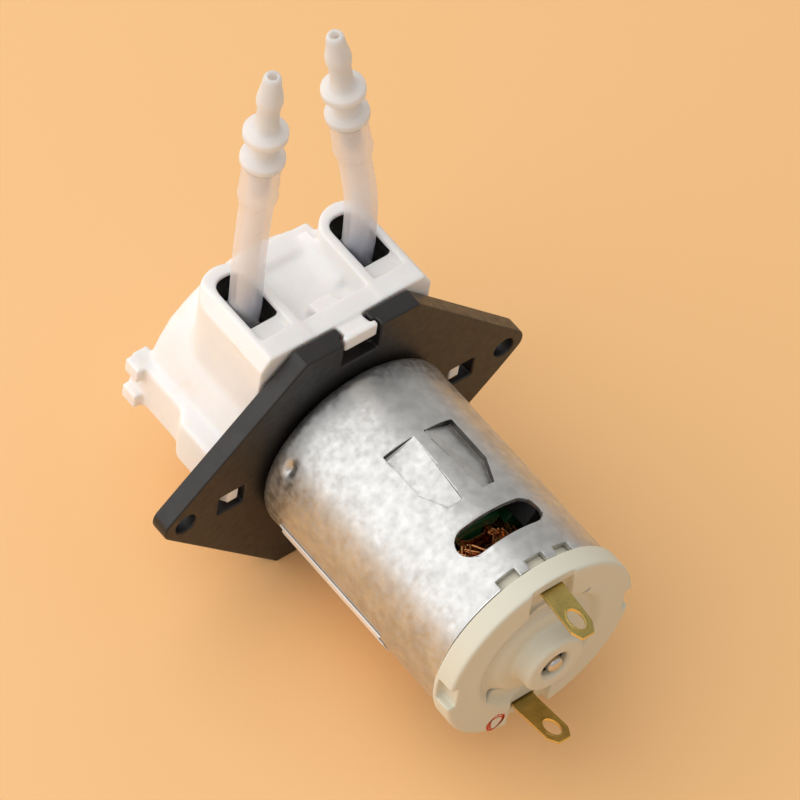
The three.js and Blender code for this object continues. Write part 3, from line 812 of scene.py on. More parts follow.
@dataclass
class HeadHousing:
    """The white roller head with its two ports, its tab and its squeeze latches."""

    radius: float = 15.85
    front: float = -22.0
    rear: float = -3.1
    track: float = 13.7
    floor: float = -20.3
    nose: float = 1.8
    port_x: float = 8.75
    port_y: float = -12.45
    port: tuple[float, float, float] = (5.1, 13.2, 20.45)
    mouth: tuple[float, float, float] = (2.25, -16.7, 1.9)
    shelf: tuple[float, float, float] = (16.5, -9.2, -8.2)
    ledge: tuple[float, float] = (-6.2, 1.2)

    def port_block(self, side: int) -> Obj:
        """One raised port with its round front and its sloped shoulder."""
        inner, outer, top = self.port
        mid, half = (inner + outer) / 2, (outer - inner) / 2
        plan = [(outer, self.rear), *Draw.arc(mid, -18.5 + half, half, 0, -180, 24), (inner, self.rear)]
        block = Bench.prism("port", Draw.mirrored(plan, side), Plane.XY, 5, top)
        slope = [(outer - 1.27, top), (outer - 1.92, top + 1), (outer + 2, top + 1), (outer + 2, 15.4)]
        return Bench.carve(
            block, Bench.prism("slope", Draw.mirrored(slope, side), Plane.XZ, -24, 0)
        )

    def mouth_outline(self, rear: float) -> list[Point2]:
        """A port's mouth in plan, round at the front and square at the rear."""
        half, front, r = self.mouth
        low, high = self.port_x - half, self.port_x + half
        return [
            (high, rear),
            (low, rear),
            *Draw.arc(low + r, front + r, r, 180, 270, 10),
            *Draw.arc(high - r, front + r, r, 270, 360, 10),
        ]

    def port_cuts(self, side: int) -> list[Obj]:
        """The cavity under a port, its mouth, its flare to the track and its ledge."""
        half, front, _ = self.mouth
        level, narrow, wide = self.shelf
        top = self.port[2]
        ledge_rear, drop = self.ledge
        low, high = self.port_x - half, self.port_x + half
        flare = [(low, 8), (low, 12.2), (high, 13.6), (12.45, 9), (12.7, 5), (9, 4)]
        ledge = ((side * low, -11, top - drop), (side * high, ledge_rear, top + 1))
        return [
            Bench.prism("well", Draw.mirrored(self.mouth_outline(wide), side), Plane.XY, 9, level),
            Bench.prism(
                "mouth", Draw.mirrored(self.mouth_outline(narrow), side), Plane.XY, level - 0.1, top + 1
            ),
            Bench.prism("flare", Draw.mirrored(flare, side), Plane.XZ, front + 0.4, wide - 0.4),
            Bench.block("ledge", *ledge),
        ]

    def latch(self, side: int) -> list[Obj]:
        """A squeeze latch: its spring arm, its block with the hook and its two finger ribs."""

        def span(x0: float, x1: float, y0: float, y1: float, z0: float, z1: float) -> Obj:
            """A block at this side between two corners."""
            return Bench.block("latch", (side * x0, y0, z0), (side * x1, y1, z1))

        slope = [(14.5, -12.8), (16.7, -12.8), (18.2, -11.0), (18.2, self.rear), (14.5, self.rear)]
        hook = [(16.6, -2.2), (18.9, -1.7), (18.2, -0.5), (16.6, -0.5)]
        return [
            span(14.5, 16.8, -22.9, self.rear, -3.7, 3.7),
            Bench.prism("latch_block", Draw.mirrored(slope, side), Plane.XY, -3.6, 3.6),
            span(16.3, 18.0, -22.6, -20.0, 1.4, 3.8),
            span(16.3, 18.0, -22.6, -20.0, -3.8, -1.4),
            span(16.6, 18.2, self.rear - 1, -1.6, -1.3, 1.1),
            Bench.prism("hook", Draw.mirrored(hook, side), Plane.XY, -1.3, 1.1),
        ]

    def bridge(self) -> list[Obj]:
        """The deck between the ports, its front band, its rear rail and the snap tab."""
        top = self.port[2]
        wedge = [(-9.0, 15.8), (-9.0, 18.3), (-2.4, 20.1), (-0.3, 20.6), (-0.3, 18.3), (-3.11, 18.3),
                 (-3.11, 15.8)]
        gusset = [(5.2, 15.0), (5.2, 18.6), (4.6, 17.4), (3.6, 16.6), (2.2, 16.25), (2.2, 15.0)]
        parts = [
            Bench.block("deck", (-5.6, -16.9, 10), (5.6, self.rear, 16.3)),
            Bench.block("band", (-7, -20.2, 10), (7, -16.8, 17.0)),
            Bench.block("rail", (-5.6, -6.0, 10), (5.6, self.rear, top - 0.15)),
            Bench.prism("tab", wedge, Plane.YZ, -1.95, 1.95),
            Bench.block("tab_head", (-2.5, -1.1, 18.3), (2.5, -0.3, 20.6)),
        ]
        for s in (1, -1):
            parts.append(Bench.prism("gusset", Draw.mirrored(gusset, s), Plane.XZ, -18.5, -10.0))
        return parts

    @staticmethod
    def filleted(p: Vector) -> bool:
        """Whether a place is in one of the broad fillets where a port grows out of the barrel."""
        outer = abs(p.x) > 12.4 and 4 < p.z < 15 and p.y < -3.6
        deck = abs(p.x) < 5.4 and 15.5 < p.z < 18.8 and -19 < p.y < -6.8
        brow = p.y < -15.8 and 9 < p.z < 17.5 and abs(p.x) > 4
        arm = abs(p.x) > 13.6 and 2.7 < abs(p.z) < 5.5 and -19.4 < p.y < -4
        return outer or deck or brow or arm

    def in_shaded_mouth(self, centre: Vector, _: Vector) -> bool:
        """Whether a face lies deep inside a port's mouth, where black is painted as the shade inside."""
        half, front, _r = self.mouth
        deep = self.port[2] - 0.6
        across = abs(abs(centre.x) - self.port_x) < half + 0.25
        return across and 9 < centre.z < deep and front - 0.3 < centre.y < self.shelf[1] + 0.35

    def build(self) -> None:
        """Models the housing and installs it."""
        r, n = self.radius, self.nose
        rounded = Draw.arc(r - n, self.front + n, n, -90, 0, 10)
        dish = [(0, self.front + 0.4), (10.6, self.front + 0.4), (11.2, self.front)]
        shell = Bench.lathe("head_shell", [*dish, *rounded, (r, self.rear), (0, self.rear)], 128,
                            ring=False)
        for s in (1, -1):
            Bench.fuse(shell, self.port_block(s), *self.latch(s))
        Bench.fuse(shell, *self.bridge())
        cavity = [(0, self.floor), (self.track, self.floor), (self.track, 0), (0, 0)]
        cuts = [Bench.lathe("cavity", cavity, 128, ring=False)]
        Bench.carve(shell, *cuts, *self.port_cuts(1), *self.port_cuts(-1))
        Bench.melt(shell, 0.26, 7, self.filleted, 40)
        install(shell, "root", "white_plastic", WHITE, "head_housing")
        # Painted shade: the white faces deep in the ports' mouths are dressed black for the shade inside them.
        second_finish(shell, BLACK, self.in_shaded_mouth)


@dataclass
class TubePath:
    """The pump tube's centre line, from the left connector round the track to the right one."""

    port_x: float = 8.75
    y: float = -12.45
    loop: float = 12.55
    exit_angle: float = 25.0

    def knots(self) -> list[Vector]:
        """The points that the line passes through."""
        y = self.y
        left = [(8.31, -13.42, 45.1), (8.3, -13.4, 42.9), (8.7, -12.9, 28), (8.75, y, 20.4)]
        right = [(-8.78, y, 20.4), (-8.65, -12.95, 27), (-7.74, -13.78, 33.5), (-6.43, -14.57, 40.6)]
        right.append((-6.04, -14.79, 42.76))
        neck = [(10.2, 8.0), (9.05, 10.9), (self.port_x, 13.2), (self.port_x, 15.4)]
        sweep = 180 + 2 * self.exit_angle
        arc = [math.radians(self.exit_angle - sweep * i / 22) for i in range(23)]
        return [
            Vector(p)
            for p in (
                *left,
                *((x, y, z) for x, z in reversed(neck)),
                *((self.loop * math.cos(a), y, self.loop * math.sin(a)) for a in arc),
                *((-x, y, z) for x, z in neck),
                *right,
            )
        ]

    def points(self, count: int) -> list[Vector]:
        """Evenly spaced points on a centripetal spline through the knots.

        Args:
            count: How many points.

        Returns:
            The points in millimetres.
        """
        knots = self.knots()
        line = [2 * knots[0] - knots[1], *knots, 2 * knots[-1] - knots[-2]]
        fine: list[Vector] = []
        for p0, p1, p2, p3 in zip(line, line[1:], line[2:], line[3:]):
            d0, d1, d2 = (math.sqrt((b - a).length) for a, b in ((p0, p1), (p1, p2), (p2, p3)))
            t1 = ((p1 - p0) / d0 - (p2 - p0) / (d0 + d1) + (p2 - p1) / d1) * d1
            t2 = ((p2 - p1) / d1 - (p3 - p1) / (d1 + d2) + (p3 - p2) / d2) * d1
            for i in range(24):
                t = i / 24
                fine.append(
                    p1 * (2 * t**3 - 3 * t**2 + 1)
                    + t1 * (t**3 - 2 * t**2 + t)
                    + p2 * (3 * t**2 - 2 * t**3)
                    + t2 * (t**3 - t**2)
                )
        fine.append(knots[-1])
        run = [0.0]
        for a, b in zip(fine, fine[1:]):
            run.append(run[-1] + (b - a).length)
        even, at = [], 0
        for i in range(count):
            goal = run[-1] * i / (count - 1)
            while at < len(fine) - 2 and run[at + 1] < goal:
                at += 1
            even.append(fine[at].lerp(fine[at + 1], (goal - run[at]) / (run[at + 1] - run[at])))
        return even


def eased_step(x: float, low: float, high: float) -> float:
    """A smooth step from 0 at low to 1 at high."""
    t = max(0.0, min(1.0, (x - low) / (high - low)))
    return t * t * (3 - 2 * t)


@dataclass
class PumpTube:
    """The silicone tube, squeezed flat in the track and round above the ports."""

    r: float = 2.1
    bore: float = 1.25
    flat: float = 0.85
    pinch: float = 1.15
    stretched: float = 2.45
    fit: float = 5.5
    ease: float = 2.5
    steps: int = 190
    sides: int = 32

    def half(self, z: float, from_end: float) -> float:
        """Half the tube's thickness.

        Args:
            z: Height of the centre line.
            from_end: Distance to the nearer end along the line.

        Returns:
            The half thickness in millimetres.
        """
        if from_end < self.fit + self.ease:
            grown = eased_step(self.fit + self.ease - from_end, 0, self.ease)
            ring = 0.1 * math.exp(-(((from_end - self.fit) / 0.45) ** 2))
            ring -= 0.06 * math.exp(-(((from_end - 1.6) / 0.9) ** 2))
            return self.r + (self.stretched - self.r) * grown + ring
        squeezed = self.flat + (self.pinch - self.flat) * eased_step(z, 6, 11)
        return squeezed + (self.r - squeezed) * eased_step(z, 15.6, 19.4)

    def build(self, path: TubePath) -> None:
        """Models the tube along its path and installs it.

        Args:
            path: The centre line.
        """
        Bench.clear()
        bpy.ops.mesh.primitive_circle_add(vertices=self.sides, radius=1.0, fill_type="NOTHING")
        tube = bpy.context.object
        tube.name = tube.data.name = "silicone_tube"
        bore = self.bore / self.r
        with Bench.editing(tube):
            bpy.ops.mesh.extrude_region_move()
            bpy.ops.transform.resize(value=(bore, bore, bore))
            bpy.ops.mesh.select_all(action="SELECT")
            for _ in range(self.steps):
                bpy.ops.mesh.extrude_region_move(TRANSFORM_OT_translate={"value": (0, 0, 1)})
            bpy.ops.mesh.select_all(action="SELECT")
            bpy.ops.mesh.normals_make_consistent(inside=False)
        centres = path.points(self.steps + 1)
        length = sum((b - a).length for a, b in zip(centres, centres[1:]))
        frames = []
        for i, centre in enumerate(centres):
            ahead, behind = centres[min(i + 1, self.steps)], centres[max(i - 1, 0)]
            side = (ahead - behind).cross(Vector((0, 1, 0))).normalized()
            along = side.cross(ahead - behind).normalized()
            end = length * min(i, self.steps - i) / self.steps
            half = self.half(centre.z, end)
            wide = self.r + 0.62 * (self.r - half) if half < self.r else half
            frames.append((centre, side * half, along * wide))
        for vertex in tube.data.vertices:
            x, y, z = vertex.co
            centre, side, along = frames[max(0, min(self.steps, round(z)))]
            vertex.co = (centre + side * x + along * y) * MM
        with Bench.editing(tube):
            bpy.ops.mesh.normals_make_consistent(inside=False)
        Bench.smooth(tube, 50)
        install(tube, "root", "silicone_tube", SILICONE, "pump_tube")
        LOG.info("tube length %.1f mm", length)


@dataclass
class Connector:
    """A barbed tube connector with two collars and a tapered nose."""

    name: str
    node: str
    foot: Point3
    lean: Point3

    def build(self) -> None:
        """Models the connector along its lean and installs it."""
        low = Draw.eased([
            (0.85, -3.4), (1.2, -2.2), (1.2, -0.2), (1.3, 0.35), (1.3, 2.1), (1.5, 2.35), (2.2, 2.55),
        ])
        collar = [*Draw.arc(2.55, 2.85, 0.25, -80, 0, 4), *Draw.arc(2.55, 3.45, 0.25, 0, 80, 4)]
        waist = Draw.eased([(2.3, 3.8), (1.8, 4.0), (1.6, 4.6), (1.6, 6.5), (1.9, 6.95), (2.3, 7.1)])
        upper = [*Draw.arc(2.5, 7.4, 0.3, -80, 0, 4), *Draw.arc(2.5, 8.1, 0.3, 0, 80, 4)]
        nose = Draw.eased([
            (2.3, 8.45), (1.75, 8.65), (1.45, 9.2), (1.38, 12.0), (1.45, 12.6), (1.66, 13.5),
            (1.64, 14.4), (1.25, 16.3), (1.15, 17.6), (0.95, 18.05), (0.8, 18.12),
        ])
        outside = [*low, *collar, *waist, *upper, *nose]
        profile = [(0.6, -3.35), *outside, (0.65, 18.12), (0.58, 17.9), (0.55, 17.0)]
        lean = Vector(self.lean).normalized()
        part = Bench.lathe(self.name, profile, 72, tuple(Vector(self.foot) + 0.1 * lean), tuple(lean))
        Bench.smooth(part, 50)
        install(part, "root", "clear_plastic", FROSTED, self.node)


@dataclass
class TubeClips:
    """The two ivory plates that pinch the tube under the ports."""

    x: float = 8.75
    y: float = -12.45
    low: float = 13.2
    high: float = 15.4

    def build(self) -> None:
        """Models the clips and installs them."""
        for side, word in ((1, "left"), (-1, "right")):
            at = side * self.x
            plate = Bench.prism(
                f"clip_{word}", Draw.rounded(at, self.y, 1.98, 3.9, 1.2), Plane.XY, self.low, self.high
            )
            slot = Draw.rounded(at, self.y, 1.42, 3.05, 1.3)
            Bench.carve(plate, Bench.prism("slot", slot, Plane.XY, self.low - 1, self.high + 1))
            Bench.soften(plate, 0.14)
            install(plate, "root", "ivory_nylon", IVORY, f"tube_clip_{word}")


@dataclass
class MotorCan:
    """The drawn steel can with its pressed pockets, vents and rear notches."""

    r: float = 13.85
    wall: float = 0.75
    front: float = 0.3
    rear: float = 35.5
    seam: float = 26.5
    vent: tuple[float, float, float] = (26.0, 30.1, 26.5)

    def profile(self) -> list[Point2]:
        """The wall's section, with close rows where the sheet is pressed."""
        r, inner = self.r, self.r - self.wall
        rows = [2.2 + 0.35 * i for i in range(12)] + [8.0, 10.0]
        rows += [10.5 + 0.5 * i for i in range(31)]
        groove = [(r, self.seam - 0.1), (r - 0.05, self.seam), (r, self.seam + 0.1)]
        return [
            (1.6, -1.7),
            *Draw.arc(4.4, -1.1, 0.6, -90, 0, 5),
            (5.0, self.front),
            *Draw.arc(r - 1.5, self.front + 1.5, 1.5, -90, 0, 9),
            *((r, y) for y in rows),
            *groove,
            *((r, 27.0 + 0.5 * i) for i in range(15)),
            (r, 34.2),
            (r, self.rear),
            (inner, self.rear),
            (inner, 25.0),
            (inner, 10.0),
            *Draw.arc(inner - 0.9, self.front + self.wall + 0.9, 0.9, 0, -90, 5),
            (4.2, self.front + self.wall),
            (4.2, -0.9),
            (1.6, -0.9),
        ]

    def cuts(self) -> list[Obj]:
        """The vents, the notches in the rear edge and the screw holes."""
        low, high, half_angle = self.vent
        half = self.r * math.sin(math.radians(half_angle))
        radius = (high - low) / 2 - 0.02
        slot = Draw.rounded(0, (low + high) / 2, half, (high - low) / 2, radius, 12)
        made = [
            Bench.prism("vent", slot, Plane.XY, 8, 16),
            Bench.prism("vent", slot, Plane.XY, -16, -8),
        ]
        for centre in (90, -90):
            for start, end in ((-23, -11), (-4.5, 6.5), (13.5, 24.5)):
                wedge = [
                    *Draw.arc(0, 0, 15, centre + start, centre + end, 3),
                    *Draw.arc(0, 0, 11, centre + end, centre + start, 3),
                ]
                made.append(Bench.prism("tooth", wedge, Plane.XZ, self.rear - 1.3, self.rear + 1))
        for s in (1, -1):
            hole = [(0, -2), (1.55, -2), (1.55, 4), (0, 4)]
            made.append(Bench.lathe("hole", hole, 28, (s * 8.0, 0, 0), ring=False))
        return made

    def pocket(self, side: int, drop: float, grow: float, top: float) -> Obj:
        """A wedge under the top line whose floor falls away outwards.

        Args:
            side: The side of the top line.
            drop: How far the floor lies below the pressed one, in millimetres.
            grow: How much wider the outline is.
            top: How high the wedge reaches.

        Returns:
            The solid.
        """
        g = grow
        plan = [(2.35 + g, 12.0 - g), (2.3 + g, 18.9 + g / 3), (0.5 + g / 2, 22.65 + g), (-1.5 - g, 22.7 + g),
                (-2.35 - g, 12.1 - g)]
        floor = [(t, 13.23 - drop - 0.1944 * t) for t in (-3.2, 3.2)]
        section = [*floor, (3.2, top), (-3.2, top)]
        wedge = Bench.prism("pocket", Draw.mirrored(section, side), Plane.XZ, 11, 24)
        Bench.carve(wedge, Bench.prism("plan", Draw.mirrored(plan, side), Plane.XY, 11, 17),
                    operation="INTERSECT")
        wedge.data.transform(Matrix.Rotation(math.radians(12.75 * side), 4, "Y"))
        return wedge

    def shaded_pocket_wall(self, centre: Vector, normal: Vector) -> bool:
        """Whether a face is on a pocket's outer wall, where a dark metal stands for painted shade."""
        radius = math.hypot(centre.x, centre.z)
        near = centre.z > 11 and abs(centre.x) < 6.5 and 11.7 < centre.y < 23
        upright = (normal.x * centre.x + normal.z * centre.z) / radius
        return near and 12.4 < radius < 13.8 and upright < 0.45

    def dent(self, place: Vector) -> Vector:
        """Presses the small dents near the front edge into the sheet."""
        radius = math.hypot(place.x, place.z)
        if radius < 12.5 or not 1.5 < place.y < 6.5:
            return place
        angle = math.degrees(math.atan2(place.x, place.z))
        depth = 0.0
        for centre in (64.0, -64.0, 116.0, -116.0):
            u, v = math.radians(angle - centre) * self.r, place.y - 3.6 - 0.012 * (angle - centre)
            depth += 0.5 * math.exp(-((u / 1.0) ** 2) - ((v / 0.55) ** 2))
        scale = (radius - depth) / radius
        return Vector((place.x * scale, place.y, place.z * scale))

    def build(self) -> None:
        """Models the can and installs it."""
        can = Bench.lathe("can_shell", self.profile(), 240)
        Bench.fuse(can, *(self.pocket(s, 0.6, 0.6, 13.3) for s in (1, -1)))
        Bench.carve(can, *(self.pocket(s, 0, 0, 16) for s in (1, -1)), *self.cuts())
        inner = self.r - self.wall
        for s in (1, -1):
            lug = Bench.block("lug", (s * 11.5, self.rear - 0.4, -1.5),
                              (s * (inner + 0.5), self.rear + 0.35, 1.5))
            Bench.fuse(can, lug)
        Bench.nudge(can, self.dent)
        Bench.soften(can, 0.11, 2, angle=50, tidy=False)
        install(can, "root", "zinc_can", ZINC, "motor_can")
        second_finish(can, ZINC_EDGE, lambda c, n: c.y > self.rear - 0.25 and math.hypot(c.x, c.z) > 13)
        # Painted shade: the pockets' outer walls are dressed dark to show the shade in the pockets.
        second_finish(can, POCKET_SHADE, self.shaded_pocket_wall)


@dataclass
class Label:
    """The plain white film wrapped under the can."""

    r: float = 13.9
    thick: float = 0.18
    front: float = 4.5
    rear: float = 25.0
    edge: float = -14.0

    def build(self) -> None:
        """Models the film and installs it."""
        start, end = -180 - self.edge, self.edge
        outline = [
            *Draw.arc(0, 0, self.r + self.thick, start, end, 80),
            *Draw.arc(0, 0, self.r, end, start, 80),
        ]
        film = Bench.prism("label_film", outline, Plane.XZ, self.front, self.rear)
        for y, sign in ((self.front, 1), (self.rear, -1)):
            for s in (1, -1):
                corner = [(-5.2, y - sign), (-3.2, y - sign), (-3.2, y), (-4.3, y + sign * 0.5),
                          (-5.2, y + sign * 2.0)]
                trim = [(y1, z1) for z1, y1 in corner]
                Bench.carve(film, Bench.prism("trim", trim, Plane.YZ, min(s * 12, s * 16),
                                              max(s * 12, s * 16)))
        Bench.soften(film, 0.05, 2)
        install(film, "root", "paper_label", FILM, "motor_label")


@dataclass
class EndCap:
    """The nylon cap at the rear of the can, with its brush slots and its bearing boss."""

    r: float = 12.85
    lip: float = 14.3
    skirt: float = 31.2
    floor: float = 34.0
    top: float = 38.9
    dish: float = 37.9
    boss: float = 4.4
    boss_top: float = 41.9
    slot_half: float = 1.95

    def profile(self) -> list[Point2]:
        """The cap's section, from its bearing seat out to its lip."""
        top, dish = self.top, self.dish
        return [
            (3.1, self.floor), (3.1, 40.6), (2.0, 40.6), (2.0, self.boss_top - 0.45),
            (2.45, self.boss_top), *Draw.arc(self.boss - 0.6, self.boss_top - 0.6, 0.6, 90, 0, 5),
            *Draw.eased([
                (self.boss, 40.6), (4.5, 39.7), (4.7, 39.2), (5.2, 39.05), (6.6, 38.95), (7.4, 38.3), (7.9, dish),
                (8.4, dish), (8.8, dish + 0.35), (9.2, top - 0.1), (9.7, top + 0.12), (10.6, top + 0.05),
                (11.4, top)]),
            *Draw.arc(self.lip - 0.45, top - 0.45, 0.45, 90, 0, 5),
            (self.lip, 35.8), (self.r, 35.8), (self.r, self.skirt), (11.9, self.skirt),
            (11.9, self.floor),
        ]

    def build(self) -> None:
        """Models the cap and its ink ring and installs them."""
        cap = Bench.lathe("end_cap_shell", self.profile(), 128)
        cuts = []
        for s in (1, -1):
            outer = (3.3, 38.6 if s > 0 else 37.6, 12.7, 15.0)
            for half, low, near, far in (outer, (3.3, 37.6, 8.6, 12.75),
                                         (self.slot_half, 30.0, 11.7, 12.75)):
                cuts.append(Bench.block("recess", (-half, low, s * near), (half, 40, s * far)))
            cuts.append(Bench.block("side", (s * 13.05, 36.4, -1.9), (s * 15, 40, 1.9)))
        for x, z in ((6.3, -5.0), (-5.2, 7.4)):
            leaf = [*Draw.arc(0, -2.18, 2.7, 55, 125, 8), *Draw.arc(0, 2.18, 2.7, -125, -55, 8)]
            turn = Matrix.Rotation(math.radians(-20), 2)
            leaf = [tuple(turn @ Vector(p) + Vector((x, z))) for p in leaf]
            cuts.append(Bench.prism("slit", leaf, Plane.XZ, 30, 39))
        for x, z, r in ((-12.1, -1.5, 0.85), (12.1, 1.5, 0.85), (9.0, 8.6, 0.5)):
            dot = [(r, self.top - 2.6), (r, self.top + 1), (r - 0.14, self.top + 1), (r - 0.14, self.top - 2.6)]
            level = self.top - 0.12 if math.hypot(x, z) > 10 else self.dish - 0.1
            ring = [(a, max(b, level)) for a, b in dot]
            cuts.append(Bench.lathe("mark", ring, 32, (x, 0, z)))
        Bench.carve(cap, *cuts)
        Bench.melt(cap, 0.2, 4)
        install(cap, "root", "cap_nylon", CAP, "end_cap")
        self.ink()

    def ink(self) -> None:
        """Models the inspector's hand-drawn red ring on the cap's lip."""
        rng = random.Random(7)
        marks = []
        for x, z, hu, hv, wide in ((5.5, -11.5, 1.2, 1.15, 0.3), (5.25, -11.3, 1.1, 1.3, 0.24)):
            rings: tuple[list[Point2], list[Point2]] = ([], [])
            for i in range(40):
                a = math.tau * i / 40
                wobble = 0.08 * math.sin(3 * a + x) + rng.uniform(-0.025, 0.025)
                half = wide * (0.5 + 0.2 * math.sin(2 * a + z))
                for ring, step in zip(rings, (half, -half)):
                    ring.append((x + (hu + wobble + step) * math.cos(a), z + (hv + wobble + step) * math.sin(a)))
            mark = Bench.prism("ink_ring", rings[0], Plane.XZ, self.top - 0.4, self.top + 0.02)
            Bench.carve(mark, Bench.prism("hole", rings[1], Plane.XZ, self.top - 1, self.top + 1))
            marks.append(mark)
        tail = [(4.9, -10.2), (5.1, -10.3), (5.6, -9.0), (5.45, -8.9)]
        marks.append(Bench.prism("tail", tail, Plane.XZ, self.dish - 0.4, self.top + 0.02))
        mark = Bench.join("ink_ring", marks)
        install(mark, "root", "cap_nylon", INK)


@dataclass
class Terminals:
    """The two brass tabs with their slotted eyes."""

    width: float = 3.3
    thick: float = 0.45
    z: float = 12.22
    root: float = 31.5
    bend: float = 38.8
    tip: float = 45.9
    tip_z: float = 11.1

    def strip(self, side: int, thick: float, plan: Sequence[Point2]) -> Obj:
        """A bent strip of one thickness, trimmed to a plan and given its eye."""
        line = [(self.root, self.z), (self.bend, self.z), (self.tip, self.tip_z)]
        section = [(y, side * (z - thick / 2)) for y, z in line]
        section += [(y, side * (z + thick / 2)) for y, z in reversed(line)]
        made = Bench.prism("tab", section, Plane.YZ, -self.width / 2, self.width / 2)
        z0, z1 = sorted((side * 5, side * 16))
        Bench.carve(made, Bench.prism("plan", plan, Plane.XY, z0, z1), operation="INTERSECT")
        eye = Draw.oval(0, self.tip - 2.5, 0.9, 1.5)
        return Bench.carve(made, Bench.prism("eye", eye, Plane.XY, z0, z1))

    def build(self) -> None:
        """Models the tabs and installs them."""
        half = self.width / 2
        plan = [
            (-half, self.root - 1), (half, self.root - 1), (half, self.tip - 1.5), (half - 0.15, self.tip - 1.1),
            (half - 0.75, self.tip), (-half + 0.75, self.tip), (-half + 0.15, self.tip - 1.1),
            (-half, self.tip - 1.5),
        ]
        rim = Draw.oval(0, self.tip - 2.5, 1.15, 1.75)
        for side, word in ((1, "upper"), (-1, "lower")):
            tab = self.strip(side, self.thick, plan)
            raised = self.strip(side, self.thick + 0.14, rim)
            Bench.fuse(tab, raised)
            tab.name = tab.data.name = f"terminal_tab_{word}"
            Bench.soften(tab, 0.06, 2, angle=40)
            install(tab, "root", "brass", BRASS, f"terminal_{word}")
            second_finish(tab, BRASS_EDGE, lambda c, n: abs(n.z) < 0.75)


@dataclass
class Windings:
    """The five coils of enamelled wire on the armature's teeth."""

    wire_r: float = 0.19
    inner: float = 4.36
    pitch: float = 0.36
    rows: int = 8

    def loops(self) -> list[list[Vector]]:
        """The turns of the coil on the upright tooth, as closed lines in metres."""
        rng = random.Random(11)
        made = []
        for k in range(self.rows):
            layers = min(4, k + 1)
            for j in range(layers):
                half = 1.92 + 0.21 * j + rng.uniform(-0.02, 0.02)
                far = 0.2 + 0.8 * j + rng.uniform(-0.12, 0.12)
                radius = 1.0 + 0.25 * j
                rho = self.inner + self.pitch * k
                outline = Draw.rounded(0, 17.5, half, 7.2 + far, radius, 5)
                twist = rng.uniform(-0.06, 0.06)
                made.append([
                    Vector((x, y, min(6.9, rho + twist * math.sin(y) + 0.05 * x))) * MM
                    for x, y in outline
                ])
        return made

    def leads(self) -> list[list[Vector]]:
        """Bundles of wire that cross behind the core to the next tooth and to the commutator."""
        rng = random.Random(5)
        made = []
        for start, end, outer, sag, rear, count in (
            (12, -26, 8.0, 0.6, 25.3, 7),
            (-22, -58, 8.1, 0.9, 25.0, 6),
            (20, 2, 8.2, 3.2, 26.2, 6),
        ):
            for k in range(count):
                a0, a1 = start + 2.6 * k + rng.uniform(-1, 1), end + 1.9 * k + rng.uniform(-1, 1)
                lift, slack = rng.uniform(0, 0.7), rng.uniform(0.8, 1.2)
                line = []
                for i in range(9):
                    t = i / 8
                    a = math.radians(a0 + (a1 - a0) * t)
                    r = outer - sag * slack * (t if sag > 2 else math.sin(math.pi * t)) - 0.22 * (k % 3)
                    y = rear + lift + 2.2 * (t if sag > 2 else math.sin(math.pi * t)) * slack
                    line.append(Vector((r * math.sin(a), min(y, 29.0), r * math.cos(a))) * MM)
                made.append(line)
        return made

    def build(self) -> None:
        """Models one coil, copies it to the other teeth and installs all five."""
        turns = [Bench.wire("turn", loop) for loop in self.loops()]
        turns += [Bench.wire("lead", line, closed=False) for line in self.leads()]
        coil = Bench.join("coil_1", turns)
        Bench.pick(coil)
        bpy.ops.object.convert(target="CURVE")
        coil.data.bevel_depth = self.wire_r * MM
        coil.data.bevel_resolution = 1
        bpy.ops.object.convert(target="MESH")
        Bench.smooth(coil, 60)
        coils = [coil, *(Bench.turned(coil, f"coil_{i + 1}", 72.0 * i) for i in range(1, 5))]
        for i, piece in enumerate(coils):
            install(piece, "armature", "copper", COPPER, f"winding_{i + 1}")


@dataclass
class Shaft:
    """The ground motor shaft with its domed rear end, and the bush round it."""

    r: float = 1.15
    front: float = -17.6
    rear: float = 42.2

    def build(self) -> None:
        """Models the shaft and the two bearings and installs them."""
        dome = [(0.98 * self.r * math.cos(math.radians(a)), self.rear - 0.62 + 0.62 * math.sin(math.radians(a)))
                for a in range(0, 91, 10)]
        nose = [(0.0, self.front), (self.r - 0.35, self.front), (self.r, self.front + 0.35)]
        profile = [*nose, (self.r, self.rear - 0.75), *dome[:-1], (0.0, self.rear)]
        rod = Bench.smooth(Bench.lathe("ground_shaft", profile, 64, ring=False), 35)
        install(rod, "armature", "steel", STEEL, "motor_shaft")
        bush = [(1.3, 36.4), (2.8, 36.4), (2.8, 40.05), (2.55, 40.3), (1.55, 40.3), (1.3, 40.05)]
        install(Bench.smooth(Bench.lathe("rear_bush", bush, 64)), "root", "bronze", BRONZE, "rear_bearing")
        seat = [(1.3, -0.6), (3.7, -0.6), (3.9, -0.4), (3.9, 2.4), (3.7, 2.6), (1.3, 2.6)]
        install(Bench.smooth(Bench.lathe("front_bush", seat, 64)), "root", "bronze", BRONZE, "front_bearing")


